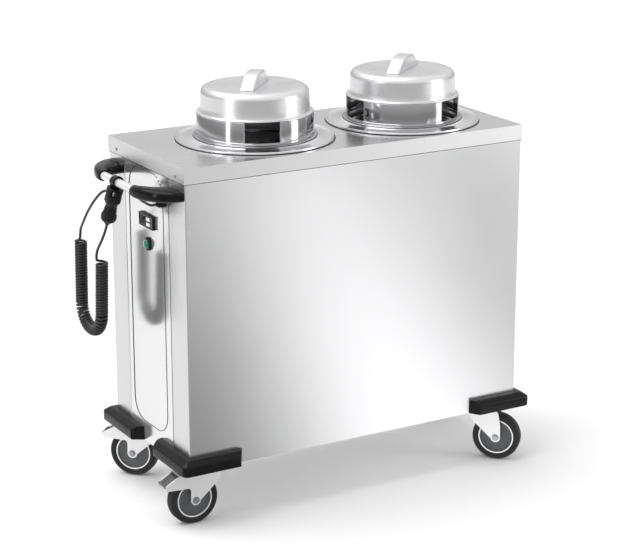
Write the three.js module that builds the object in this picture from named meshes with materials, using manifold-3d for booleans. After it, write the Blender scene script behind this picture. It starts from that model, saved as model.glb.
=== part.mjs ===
// Heated two-well plate dispenser cart: stainless cabinet on four castors, two spring-loaded plate
// wells with lids, a push handle, a control panel on the end and a curly mains cord parked on the
// handle. Millimetres, +Z up. X runs along the cabinet and the handle end is at -X.
import * as THREE from "three";
import { mergeVertices } from "three/addons/utils/BufferGeometryUtils.js";
import Module from "manifold-3d";

const wasm = await Module();
wasm.setup();

// ---------------------------------------------------------------- driving dimensions
const SEAT = 0.3; // clearance between a piece and what carries it

// cabinet
const DECK_LENGTH = 942;
const DECK_WIDTH = 413;
const DECK_HEIGHT = 888;
const LIP_DROP = 38;
const SHEET = 1.5;
const BODY_BOTTOM = 147;
const FOLD_RADIUS = 3;
const SEAM_HALF = 118.5; // half the width of the opening that the end panel closes
const SEAM_GAP = 1.5;
const JOGGLE_FLANGE = 15;
const PRESSING_HALF = 89; // pressed field of the end panel
const PRESSING_RADIUS = 50;
const PRESSING_RISE = 1.2;
const PRESSING_TOP = 8; // below the deck's lip
const PRESSING_BOTTOM = 55; // above the body's lower edge
const BASE_SHEET = 2;
const BASE_RIM = 25;

// plate wells
const WELL_X = [-175, 246];
const WELL_NAMES = ["left", "right"];
const FLANGE_RADIUS = 194;
const FLANGE_BEAD = 6;
const FLANGE_RISE = 7;
const FOOT_HEIGHT = 5;
const GUIDE_RADIUS = 142.5;
const FOOT_REACH = 8.5; // of the collar's foot beyond its guides
const GUIDE_WALL = 2;
const GUIDE_TOP = 66; // above the deck
const GUIDE_SPAN = 85; // degrees of arc of each of the three guides between the windows
const WINDOW_TURN = [8.8, 58.4]; // degrees from X to the first of the three windows in each well
const NECK_STEP = 6; // from the outside of the guides to the outside of the neck
const NECK_DEPTH = 26;
const WELL_HOLE_GAP = 1.5;
const WELL_FACETS = 32;
const SLOT_WIDTH = 18;
const SLOT_ROOF = 40;

// plate platform and its springs
const PLATFORM_GAP = 8.2; // between the platform and the tube
const PLATFORM_SHEET = 3;
const PLATFORM_DEPTH = 6; // platform's face below the deck at rest
const PLATFORM_TRAVEL = 400;
const CARRIER_DROP = 190;
const CARRIER_POST = 12;
const ARM_WIDTH = 12;
const ARM_THICK = 6;
const SPRING_RADIUS = 7;
const SPRING_GAP = 6.3; // between each spring and the tube
const LUG_THICK = 3;

// lids
const LID_STEP = 9.5; // from the outside of the guides to the lid's side
const LID_WALL = 2;
const LID_HEIGHT = 64;
const LID_SHOULDER = 17;
const LID_RIM = 9;
const GRIP_LENGTH = 168;
const GRIP_WIDTH = 36;
const GRIP_RISE = 34;
const GRIP_CREST = 62; // length of the grip's level top
const GRIP_EDGE = 4;
const GRIP_TURN = [48, 40]; // degrees from the cabinet's length

// heater in the foot of each well
const HEATER_RADIUS = 95;
const HEATER_ROD = 4.5;
const HEATER_HEIGHT = 30;

// push handle
const HANDLE_REACH = 70;
const HANDLE_TUBE = 10; // radius
const HANDLE_DROP = 68; // below the deck
const HANDLE_HALF = 88; // half the length of bare tube between the end mouldings
const ELBOW_HEIGHT = 32;
const ELBOW_HALF_WIDTH = 13.5;
const ELBOW_INNER = 122; // where its foot starts and ends on the end face
const ELBOW_OUTER = 203;
const ELBOW_EDGE = 8;
const SOCKET_DEPTH = 16;

// controls on the end panel
const CONTROL_Y = -9.5;
const CONTROL_DROP = 166;
const CONTROL_WIDTH = 74;
const CONTROL_HEIGHT = 32;
const CONTROL_PROUD = 12;
const KEY_Y = -18; // of the keys from the controller's middle
const KEY_PITCH = 11.5;
const KEY_WIDTH = 10;
const KEY_HEIGHT = 5.5;
const KEY_DEPTH = 4;
const KEY_PROUD = 1;
const KEY_TRAVEL = 1;
const SWITCH_Y = -10;
const SWITCH_DROP = 223;
const BEZEL_RADIUS = 16.5;
const BEZEL_PROUD = 6;
const LENS_RADIUS = 11.5;
const LENS_PROUD = 8;
const SWITCH_TRAVEL = 3;

// corner bumpers
const BUMPER_PROUD = 30;
const BUMPER_HEIGHT = 36;
const BUMPER_FACE = 26; // height of its outer face
const BUMPER_SLOPE = 14; // width of its sloped top
const BUMPER_LONG_ARM = 140; // from the cabinet's corner along its length
const BUMPER_END_ARM = 160; // from the cabinet's corner along its end
const BUMPER_CHAMFER = 18;
const BUMPER_ROUND = 14;

// castors
const CASTOR_END_INSET = 66; // of the swivel's axis from the deck's end
const CASTOR_SIDE_INSET = 46.5;
const CASTOR_PLATE = 96;
const CASTOR_PLATE_SHEET = 3;
const RACE_RADIUS = 30;
const RACE_HEIGHT = 10;
const WHEEL_RADIUS = 62.5;
const WHEEL_WIDTH = 32;
const RIM_RADIUS = 46;
const TREAD_ROUND = 7;
const WHEEL_FACETS = 20;
const TRAIL = 38; // of the axle behind the swivel's axis
const FORK_SHEET = 3;
const FORK_GAP = 2.2; // between the wheel and each side of the fork
const CROWN_GAP = 4;
const HUB_RADIUS = 13;
const AXLE_RADIUS = 6;
const BOLT_HEAD = 9;
const BOLT_HEAD_HEIGHT = 5;
const FORK_BACK = 6; // of a plain fork beyond the axle
const BRAKE_ARM = 79; // of a braked fork's arms beyond the axle
const BRAKE_ARM_RISE = 34; // of the arms' lower edge above the axle
const BRAKE_ARM_NOSE = 17; // height of the arms at their ends
const BRAKE_ARM_SLOPE = 35; // length over which they slope down to their ends
const PEDAL_LENGTH = 40;
const PEDAL_PIN = 2.5;
const PEDAL_SHEET = 3;
const PEDAL_DROP = 5; // of its pivot below the top of the fork
const PEDAL_INSET = 33; // of its pivot from the arms' ends
const PEDAL_CHEEK = 7;
const PEDAL_SLOPE = 30; // degrees
const CASTORS = [
  { name: "front_left", sx: -1, sy: -1, heading: 180, brake: true },
  { name: "back_left", sx: -1, sy: 1, heading: 134, brake: true },
  { name: "front_right", sx: 1, sy: -1, heading: -46, brake: false },
  { name: "back_right", sx: 1, sy: 1, heading: 12, brake: false },
];

// mains cord, its gland, its plug and the holder on the handle
const CORD_DIAMETER = 6.4;
const COIL_DIAMETER = 30; // outside
const CURL_PITCH = 7.1; // on the straight arms
const BEND_PITCH = 9.6; // round the bottom of the loop
const CURL_STEPS = 8;
const CURL_PHASE = 48; // degrees that the first curl starts from
const RUNOUT_TURN = 0.3; // part of a turn in which the cord leaves the last curl
const RUNOUT_RISE = 16;
const CORD_SIDES = 5;
const LEAD_SIDES = 8;
const COIL_ARM_LEFT = { x: -16.8, top: 201, bend: 207 }; // X from the axis of the handle's tube
const COIL_ARM_RIGHT = { x: -12.8, top: 87, bend: 97 };
const COIL_TOP_LEFT = -188; // from the axis of the handle's tube
const COIL_TOP_RIGHT = -208;
const COIL_BEND = -345;
const GLAND_Y = -100;
const GLAND_DROP = 104;
const GLAND_LENGTH = 22;
const GLAND_RADIUS = 11;
const HOLDER_Y = 12;
const HOLDER_WIDTH = 20;
const HOLDER_WALL = 5;
const CUP_RADIUS = 20.5;
const CUP_HEIGHT = 20;
const PLUG_LEAN = [-12, 23, -84]; // direction in which the plug hangs
const EYE = [4.6, 40.8, -27.7]; // middle of the eye for the lead, from the holder's middle
const EYE_LEAN = [-29.4, 39, -15];
const EYE_LENGTH = 8;
const EYE_BORE = 4;
const EYE_WALL = 2.5;
const EYE_ARM = [[-1.3, 36.5, -25], [-4.3, 13, -16]]; // from the eye to the cup
const EYE_ARM_RADIUS = 3;
const PLUG_HEAD = 19.5; // radii of the plug's head, waist and grip
const PLUG_WAIST = 11;
const PLUG_GRIP = 16;
const PLUG_LENGTH = 80;
const PIN_RADIUS = 2.4;
const PIN_LENGTH = 17;
const PIN_PITCH = 19;

// ---------------------------------------------------------------- derived places
const bodyHalfLength = DECK_LENGTH / 2 - SHEET - SEAT;
const bodyHalfWidth = DECK_WIDTH / 2 - SHEET - SEAT;
const bodyTop = DECK_HEIGHT - SHEET - SEAT;
const endFace = -bodyHalfLength;
const fieldFace = endFace - PRESSING_RISE;
const handleX = endFace - HANDLE_REACH;
const handleZ = DECK_HEIGHT - HANDLE_DROP;
const footRadius = GUIDE_RADIUS + FOOT_REACH;
const neckRadius = GUIDE_RADIUS + NECK_STEP;
const neckInner = neckRadius - SHEET;
const tubeRadius = neckInner - SEAT;
const tubeInner = tubeRadius - SHEET;
const platformRadius = tubeInner - PLATFORM_GAP;
const springReach = tubeRadius + SPRING_GAP + SPRING_RADIUS;
const lidRadius = GUIDE_RADIUS - LID_STEP;
const castorX = DECK_LENGTH / 2 - CASTOR_END_INSET;
const castorY = DECK_WIDTH / 2 - CASTOR_SIDE_INSET;
const baseTop = BODY_BOTTOM + BASE_SHEET;
const footBase = DECK_HEIGHT + FLANGE_RISE + SHEET + SEAT;
const guideTop = DECK_HEIGHT + GUIDE_TOP;
const platformTop = DECK_HEIGHT - PLATFORM_DEPTH;
const carrierZ = platformTop - CARRIER_DROP;

// ---------------------------------------------------------------- materials
const metal = (color, roughness) => new THREE.MeshStandardMaterial({ color, roughness, metalness: 0.95 });
const plastic = (color, roughness) => new THREE.MeshStandardMaterial({ color, roughness, metalness: 0 });
const steelSatin = metal(0xc9cbcd, 0.35);
const steelPolished = metal(0xdadcdd, 0.15);
const steelDark = metal(0x8b8d90, 0.5);
const zinc = metal(0xdfe0e0, 0.3);
const lidMetal = metal(0xd6d8d9, 0.4);
const blackMoulding = plastic(0x262728, 0.5);
const blackRubber = plastic(0x2b2c2e, 0.8);
const cordBlack = plastic(0x1d1e1f, 0.45);
const wheelGrey = plastic(0x747678, 0.6);
const lensGreen = plastic(0x1d7a55, 0.2);
const keyWhite = plastic(0xf0f0ee, 0.4);

// ---------------------------------------------------------------- solids
function welded(geometry) {
  const bare = geometry.clone();
  bare.deleteAttribute("normal");
  bare.deleteAttribute("uv");
  const joined = mergeVertices(bare, 1e-4);
  const index = joined.getIndex().array;
  const kept = [];
  for (let i = 0; i < index.length; i += 3) {
    const [a, b, c] = [index[i], index[i + 1], index[i + 2]];
    if (a !== b && b !== c && c !== a) kept.push(a, b, c);
  }
  joined.setIndex(kept);
  return joined;
}

function toSolid(geometry) {
  const clean = welded(geometry);
  return new wasm.Manifold(new wasm.Mesh({
    numProp: 3,
    vertProperties: new Float32Array(clean.getAttribute("position").array),
    triVerts: new Uint32Array(clean.getIndex().array),
  }));
}

function toGeometry(solid) {
  const mesh = solid.getMesh();
  const geometry = new THREE.BufferGeometry();
  geometry.setAttribute("position", new THREE.BufferAttribute(new Float32Array(mesh.vertProperties), 3));
  geometry.setIndex(new THREE.BufferAttribute(new Uint32Array(mesh.triVerts), 1));
  geometry.computeVertexNormals();
  return geometry;
}

const joined = (...parts) => toGeometry(parts.map(toSolid).reduce((a, b) => a.add(b)));

function cut(body, ...tools) {
  return toGeometry(tools.map(toSolid).reduce((a, b) => a.subtract(b), toSolid(body)));
}

function block(x0, x1, y0, y1, z0, z1) {
  const geometry = new THREE.BoxGeometry(x1 - x0, y1 - y0, z1 - z0);
  return geometry.translate((x0 + x1) / 2, (y0 + y1) / 2, (z0 + z1) / 2);
}

// A turned solid about Z. The profile is [radius, z] pairs, with the outside of the wall going up.
function turned(profile, segments = WELL_FACETS) {
  const points = profile.map(([r, z]) => new THREE.Vector2(r, z));
  points.push(points[0].clone());
  return new THREE.LatheGeometry(points, segments).rotateX(Math.PI / 2);
}

const tubeProfile = (inner, outer, z0, z1) => [[inner, z0], [outer, z0], [outer, z1], [inner, z1]];
const rodProfile = (radius, z0, z1) => [[0, z0], [radius, z0], [radius, z1], [0, z1]];

function arcPoints(cx, cy, radius, from, to, steps) {
  return Array.from({ length: steps + 1 }, (_, i) => {
    const a = THREE.MathUtils.degToRad(from + ((to - from) * i) / steps);
    return [cx + radius * Math.cos(a), cy + radius * Math.sin(a)];
  });
}

function shapeOf(points) {
  return new THREE.Shape(points.map(([x, y]) => new THREE.Vector2(x, y)));
}

// A flat shape in X and Y raised from z0 to z1.
function raised(points, z0, z1) {
  const geometry = new THREE.ExtrudeGeometry(shapeOf(points), { depth: z1 - z0, bevelEnabled: false });
  return geometry.translate(0, 0, z0);
}

// A shape raised with rounded edges, kept inside its outline and its height.
function cushioned(points, z0, z1, edge, segments) {
  const geometry = new THREE.ExtrudeGeometry(shapeOf(points), {
    depth: z1 - z0 - 2 * edge, bevelThickness: edge, bevelSize: edge, bevelOffset: -edge, bevelSegments: segments,
  });
  return geometry.translate(0, 0, z0 + edge);
}

// The outline of a folded sheet: the path of its outer face, and the same path set back to the left.
function foldedSheet(path, thickness) {
  const inner = path.map((point, i) => {
    const before = path[Math.max(i - 1, 0)];
    const after = path[Math.min(i + 1, path.length - 1)];
    const normals = [[before, point], [point, after]]
      .map(([a, b]) => new THREE.Vector2(a[1] - b[1], b[0] - a[0]))
      .filter((n) => n.length() > 0)
      .map((n) => n.normalize());
    const first = normals[0];
    const last = normals[normals.length - 1];
    const mean = first.clone().add(last).normalize();
    const reach = thickness / mean.dot(first);
    return [point[0] + mean.x * reach, point[1] + mean.y * reach];
  });
  return [...path, ...inner.reverse()];
}

function roundedRectangle(halfX, y0, y1, radius, steps = 6) {
  return [
    ...arcPoints(halfX - radius, y0 + radius, radius, -90, 0, steps),
    ...arcPoints(halfX - radius, y1 - radius, radius, 0, 90, steps),
    ...arcPoints(-halfX + radius, y1 - radius, radius, 90, 180, steps),
    ...arcPoints(-halfX + radius, y0 + radius, radius, 180, 270, steps),
  ];
}

const group = new THREE.Group();

function add(name, geometry, material, parent = group) {
  const mesh = new THREE.Mesh(geometry, material);
  mesh.name = name;
  parent.add(mesh);
  return mesh;
}

function placed(x, y, z, turn = 0, parent = group) {
  const holder = new THREE.Group();
  holder.position.set(x, y, z);
  holder.rotation.z = THREE.MathUtils.degToRad(turn);
  parent.add(holder);
  return holder;
}

// ---------------------------------------------------------------- cabinet
function makeCabinet() {
  const holeRadius = neckRadius + WELL_HOLE_GAP;
  const holes = WELL_X.map((x) =>
    turned(rodProfile(holeRadius, DECK_HEIGHT - LIP_DROP, DECK_HEIGHT + LIP_DROP)).translate(x, 0, 0));
  const tray = block(-DECK_LENGTH / 2, DECK_LENGTH / 2, -DECK_WIDTH / 2, DECK_WIDTH / 2,
    DECK_HEIGHT - LIP_DROP, DECK_HEIGHT);
  const underside = block(-DECK_LENGTH / 2 + SHEET, DECK_LENGTH / 2 - SHEET, -DECK_WIDTH / 2 + SHEET,
    DECK_WIDTH / 2 - SHEET, DECK_HEIGHT - 2 * LIP_DROP, DECK_HEIGHT - SHEET);
  add("deck_top", cut(tray, underside, ...holes), steelSatin);

  // the long panels fold round the corners and step in behind the end panels
  const step = SHEET + SEAT;
  const flangeX = bodyHalfLength - step;
  const seamY = -SEAM_HALF;
  const half = [
    ...arcPoints(bodyHalfLength - FOLD_RADIUS, -bodyHalfWidth + FOLD_RADIUS, FOLD_RADIUS, -90, 0, 3),
    [bodyHalfLength, seamY - step],
    [flangeX, seamY],
    [flangeX, seamY + JOGGLE_FLANGE],
  ];
  const wrap = [...half.map(([x, y]) => [-x, y]).reverse(), ...half];
  add("front_panel", raised(foldedSheet(wrap, SHEET), BODY_BOTTOM, bodyTop), steelSatin);
  add("back_panel", raised(foldedSheet(wrap, SHEET), BODY_BOTTOM, bodyTop), steelSatin, placed(0, 0, 0, 180));

  const panelHalf = SEAM_HALF - SEAM_GAP;
  const fieldBottom = BODY_BOTTOM + PRESSING_BOTTOM;
  const fieldTop = DECK_HEIGHT - LIP_DROP - PRESSING_TOP;
  const field = roundedRectangle(PRESSING_HALF, fieldBottom, fieldTop, PRESSING_RADIUS);
  const flat = [[-panelHalf, BODY_BOTTOM], [panelHalf, BODY_BOTTOM], [panelHalf, bodyTop], [-panelHalf, bodyTop]];
  // drawn in Y and Z, with the sheet's thickness along X
  const upright = (points, inner, outer) => raised(points, inner, outer).rotateX(Math.PI / 2).rotateZ(Math.PI / 2);
  const endPanel = () => joined(
    upright(flat, bodyHalfLength - SHEET, bodyHalfLength),
    upright(field, bodyHalfLength - SHEET, bodyHalfLength + PRESSING_RISE),
  );
  add("left_end_panel", endPanel(), steelPolished, placed(0, 0, 0, 180));
  add("right_end_panel", endPanel(), steelPolished);

  const baseX = bodyHalfLength - SHEET - 2 * SEAT - SHEET;
  const baseY = bodyHalfWidth - SHEET - SEAT;
  const pan = block(-baseX, baseX, -baseY, baseY, BODY_BOTTOM, BODY_BOTTOM + BASE_RIM);
  const well = block(-baseX + SHEET, baseX - SHEET, -baseY + SHEET, baseY - SHEET, baseTop, baseTop + BASE_RIM);
  add("base_pan", cut(pan, well), steelSatin);
}

// ---------------------------------------------------------------- plate wells
function makeWell(index) {
  const side = WELL_NAMES[index];
  const holder = placed(WELL_X[index], 0, 0);

  // flange with a rolled edge, resting on the deck, and a neck that goes down through it
  const rest = DECK_HEIGHT + SEAT;
  const brow = DECK_HEIGHT + FLANGE_RISE;
  add(`${side}_well_flange`, turned([
    [neckInner, DECK_HEIGHT - NECK_DEPTH],
    [neckRadius, DECK_HEIGHT - NECK_DEPTH],
    [neckRadius, brow - SHEET],
    [footRadius + 4, brow - SHEET],
    [footRadius + 8, DECK_HEIGHT + FLANGE_BEAD - SHEET],
    [FLANGE_RADIUS - FLANGE_BEAD, rest],
    [FLANGE_RADIUS - SHEET, rest],
    [FLANGE_RADIUS, rest + FLANGE_BEAD / 2],
    [FLANGE_RADIUS - SHEET, rest + FLANGE_BEAD],
    [FLANGE_RADIUS - FLANGE_BEAD, rest + FLANGE_BEAD - 1],
    [footRadius + 8, DECK_HEIGHT + FLANGE_BEAD],
    [footRadius + 4, brow + SHEET],
    [neckInner, brow + SHEET],
  ]), steelPolished, holder);

  // collar: a foot ring with three upright guides
  const wallInner = GUIDE_RADIUS - GUIDE_WALL;
  const ring = turned([
    [wallInner, footBase],
    [footRadius, footBase],
    [footRadius, footBase + FOOT_HEIGHT / 2],
    [GUIDE_RADIUS + 2, footBase + FOOT_HEIGHT],
    [GUIDE_RADIUS, footBase + FOOT_HEIGHT],
    [GUIDE_RADIUS, guideTop],
    [wallInner, guideTop],
  ]);
  const halfGap = (120 - GUIDE_SPAN) / 2;
  const windows = [0, 120, 240].map((turn) => {
    const middle = turn + WINDOW_TURN[index];
    const wedge = [[0, 0], ...arcPoints(0, 0, 2 * GUIDE_RADIUS, middle - halfGap, middle + halfGap, 2)];
    return raised(wedge, footBase + FOOT_HEIGHT, guideTop + FOOT_HEIGHT);
  });
  add(`${side}_guide_collar`, cut(ring, ...windows), steelPolished, holder);

  // well tube standing on the base, slotted for the arms of the platform's carrier
  const tubeBottom = baseTop + SEAT;
  const tube = turned(tubeProfile(tubeInner, tubeRadius, tubeBottom, DECK_HEIGHT));
  const slotTop = carrierZ + SLOT_ROOF;
  const slotBottom = carrierZ - PLATFORM_TRAVEL - SLOT_ROOF;
  const slot = block(-springReach - ARM_WIDTH, springReach + ARM_WIDTH, -SLOT_WIDTH / 2, SLOT_WIDTH / 2,
    slotBottom, slotTop);
  const lugTop = DECK_HEIGHT - NECK_DEPTH - SEAT;
  const lugs = [-1, 1].map((s) => {
    const [near, far] = [tubeRadius - SHEET / 2, springReach + SPRING_RADIUS].map((r) => s * r);
    return block(Math.min(near, far), Math.max(near, far), -ARM_WIDTH, ARM_WIDTH, lugTop - LUG_THICK, lugTop);
  });
  add(`${side}_well_tube`, cut(joined(tube, ...lugs), slot), steelDark, holder);

  // platform on its carrier
  const post = turned(rodProfile(CARRIER_POST, carrierZ, platformTop - PLATFORM_SHEET / 2), 16);
  const disc = turned([
    [0, platformTop - PLATFORM_SHEET],
    [platformRadius - 4, platformTop - PLATFORM_SHEET],
    [platformRadius, platformTop - PLATFORM_SHEET / 2],
    [platformRadius - 3, platformTop],
    [0, platformTop],
  ]);
  const reach = springReach + SPRING_RADIUS;
  const arms = block(-reach, reach, -ARM_WIDTH / 2, ARM_WIDTH / 2, carrierZ, carrierZ + ARM_THICK);
  add(`${side}_platform`, joined(disc, post, arms), steelPolished, holder);

  const springTop = lugTop - LUG_THICK - SEAT;
  const springFoot = carrierZ + ARM_THICK + SEAT;
  [-1, 1].forEach((s, i) => {
    const spring = turned(rodProfile(SPRING_RADIUS, springFoot, springTop), 12).translate(s * springReach, 0, 0);
    add(`${side}_spring_${i + 1}`, spring, steelDark, holder);
  });

  // heating rod bent into a ring, on two feet
  const ringZ = baseTop + HEATER_HEIGHT;
  const rod = new THREE.TorusGeometry(HEATER_RADIUS, HEATER_ROD, 5, 20).translate(0, 0, ringZ);
  const feet = [-1, 1].map((s) =>
    turned(rodProfile(HEATER_ROD, baseTop + SEAT, ringZ), 8).translate(0, s * HEATER_RADIUS, 0));
  add(`${side}_heater`, joined(rod, ...feet), steelDark, holder);
}

// ---------------------------------------------------------------- lids
function makeLid(index) {
  const side = WELL_NAMES[index];
  const holder = placed(WELL_X[index], 0, 0);
  const low = guideTop + SEAT;
  const top = low + LID_HEIGHT;
  const outerRim = lidRadius + LID_RIM;
  const shoulder = arcPoints(lidRadius - 2 - LID_SHOULDER, top - LID_SHOULDER, LID_SHOULDER, 0, 90, 3);
  const inside = arcPoints(lidRadius - 2 - LID_SHOULDER, top - LID_SHOULDER, LID_SHOULDER - LID_WALL, 90, 0, 2);
  add(`${side}_lid`, turned([
    [lidRadius - LID_WALL, low],
    [outerRim, low],
    [outerRim, low + LID_WALL],
    [lidRadius + 1, low + 2 * LID_WALL],
    ...shoulder,
    [0, top],
    [0, top - LID_WALL],
    ...inside,
  ]), lidMetal, holder);

  const crest = GRIP_CREST / 2;
  const foot = GRIP_LENGTH / 2;
  const run = foot - crest; // of each sloping end, which is drawn on below the seat and then cut off
  const half = [
    [foot + run, -GRIP_RISE],
    [crest + 8, GRIP_RISE * (1 - 8 / run)],
    [crest - 6, GRIP_RISE],
  ];
  const outline = [...half, ...half.map(([x, z]) => [-x, z]).reverse()];
  const grip = cushioned(outline, -GRIP_WIDTH / 2, GRIP_WIDTH / 2, GRIP_EDGE, 2).rotateX(Math.PI / 2);
  const below = block(-2 * foot, 2 * foot, -GRIP_WIDTH, GRIP_WIDTH, -2 * GRIP_RISE, 0);
  add(`${side}_lid_grip`, cut(grip, below), lidMetal, placed(0, 0, top + SEAT, GRIP_TURN[index], holder));
}

// ---------------------------------------------------------------- push handle
function makeHandle() {
  const holder = placed(handleX, 0, handleZ);
  const bar = HANDLE_HALF + SOCKET_DEPTH - SEAT;
  add("handle_tube", turned(rodProfile(HANDLE_TUBE, -bar, bar), 20).rotateX(Math.PI / 2), steelPolished, holder);

  // each end moulding sweeps from the tube to the end face; drawn from above for the back end
  const wall = HANDLE_REACH;
  const buried = wall + 2 * ELBOW_EDGE;
  const outer = new THREE.CubicBezierCurve(
    new THREE.Vector2(-ELBOW_HALF_WIDTH, HANDLE_HALF), new THREE.Vector2(-ELBOW_HALF_WIDTH, HANDLE_HALF + 50),
    new THREE.Vector2(wall - 45, ELBOW_OUTER), new THREE.Vector2(wall, ELBOW_OUTER));
  const inner = new THREE.CubicBezierCurve(
    new THREE.Vector2(wall, ELBOW_INNER), new THREE.Vector2(wall - 26, ELBOW_INNER),
    new THREE.Vector2(ELBOW_HALF_WIDTH, HANDLE_HALF + 24), new THREE.Vector2(ELBOW_HALF_WIDTH, HANDLE_HALF));
  const sweep = [
    ...outer.getPoints(8).map((p) => [p.x, p.y]),
    [buried, ELBOW_OUTER],
    [buried, ELBOW_INNER],
    ...inner.getPoints(6).map((p) => [p.x, p.y]),
  ].reverse();
  const socket = turned(rodProfile(HANDLE_TUBE + SEAT, 0, HANDLE_HALF + SOCKET_DEPTH), 20).rotateX(-Math.PI / 2);
  const behind = block(wall - SEAT, 2 * buried, 0, 2 * ELBOW_OUTER, -ELBOW_HEIGHT, ELBOW_HEIGHT);
  const elbow = cut(cushioned(sweep, -ELBOW_HEIGHT / 2, ELBOW_HEIGHT / 2, ELBOW_EDGE, 3), socket, behind);
  const mirrored = toGeometry(toSolid(elbow).mirror([0, 1, 0]));
  add("back_handle_elbow", elbow, blackMoulding, holder);
  add("front_handle_elbow", mirrored, blackMoulding, holder);
}

// ---------------------------------------------------------------- controls
// Pieces here are turned or drawn about Z and face outwards once tipped to point along -X.
const facingOut = (geometry) => geometry.rotateY(-Math.PI / 2);

function makeControls() {
  const panel = placed(fieldFace - SEAT, CONTROL_Y, DECK_HEIGHT - CONTROL_DROP);
  const housing = cushioned(roundedRectangle(CONTROL_HEIGHT / 2, -CONTROL_WIDTH / 2, CONTROL_WIDTH / 2, 3, 2),
    -2, CONTROL_PROUD, 1.5, 1);
  const keyZ = [KEY_PITCH / 2, -KEY_PITCH / 2];
  const pocketFloor = CONTROL_PROUD - KEY_DEPTH + KEY_PROUD - KEY_TRAVEL - 2 * SEAT;
  const back = block(-CONTROL_HEIGHT, CONTROL_HEIGHT, -CONTROL_WIDTH, CONTROL_WIDTH, -4, 0);
  const pockets = keyZ.map((z) => block(z - KEY_HEIGHT / 2 - SEAT, z + KEY_HEIGHT / 2 + SEAT,
    KEY_Y - KEY_WIDTH / 2 - SEAT, KEY_Y + KEY_WIDTH / 2 + SEAT, pocketFloor, CONTROL_PROUD + KEY_DEPTH));
  add("controller_housing", facingOut(cut(housing, back, ...pockets)), blackMoulding, panel);
  keyZ.forEach((z, i) => {
    const outer = CONTROL_PROUD + KEY_PROUD;
    const key = block(z - KEY_HEIGHT / 2, z + KEY_HEIGHT / 2, KEY_Y - KEY_WIDTH / 2, KEY_Y + KEY_WIDTH / 2,
      outer - KEY_DEPTH, outer);
    add(`controller_key_${i + 1}`, facingOut(key), keyWhite, panel);
  });

  const seat = placed(fieldFace - SEAT, SWITCH_Y, DECK_HEIGHT - SWITCH_DROP);
  const bore = LENS_RADIUS + SEAT;
  add("power_switch_bezel", facingOut(turned([
    [0, 0],
    [BEZEL_RADIUS, 0],
    [BEZEL_RADIUS, BEZEL_PROUD - 2],
    [BEZEL_RADIUS - 2, BEZEL_PROUD],
    [bore, BEZEL_PROUD],
    [bore, SHEET],
    [0, SHEET],
  ], 24)), blackMoulding, seat);
  const lensFoot = SHEET + SWITCH_TRAVEL + SEAT;
  const dome = arcPoints(0, 0, LENS_RADIUS, 0, 90, 3)
    .map(([r, z]) => [r, BEZEL_PROUD + (z * LENS_PROUD) / LENS_RADIUS]);
  const lens = turned([[0, lensFoot], [LENS_RADIUS, lensFoot], ...dome], 20);
  add("power_switch_lens", facingOut(lens), lensGreen, seat);
}

// ---------------------------------------------------------------- bumpers
function makeBumper(name, sx, sy) {
  const wallX = bodyHalfLength + SEAT;
  const wallY = bodyHalfWidth + SEAT;
  const outX = bodyHalfLength + BUMPER_PROUD;
  const outY = bodyHalfWidth + BUMPER_PROUD;
  const longEnd = bodyHalfLength - BUMPER_LONG_ARM;
  const endEnd = bodyHalfWidth - BUMPER_END_ARM;
  const outline = [
    [longEnd, wallY],
    [wallX, wallY],
    [wallX, endEnd],
    [outX, endEnd + BUMPER_CHAMFER],
    ...arcPoints(outX - BUMPER_ROUND, outY - BUMPER_ROUND, BUMPER_ROUND, 0, 90, 4),
    [longEnd + BUMPER_CHAMFER, outY],
  ];
  const slope = [[0, BUMPER_FACE], [0, 2 * BUMPER_HEIGHT], [-2 * BUMPER_SLOPE, 2 * BUMPER_HEIGHT],
    [-BUMPER_SLOPE, BUMPER_HEIGHT]];
  const alongY = raised(slope, 0, 2 * DECK_WIDTH).rotateX(Math.PI / 2).translate(outX, DECK_WIDTH, 0);
  const alongX = raised(slope, 0, 2 * DECK_LENGTH).rotateX(Math.PI / 2).rotateZ(Math.PI / 2)
    .translate(0, outY, 0);
  const corner = cut(raised(outline, 0, BUMPER_HEIGHT), alongY, alongX);
  const turnedCorner = toGeometry(toSolid(corner).scale([sx, sy, 1]));
  add(name, turnedCorner, blackMoulding, placed(0, 0, BODY_BOTTOM));
}

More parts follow.
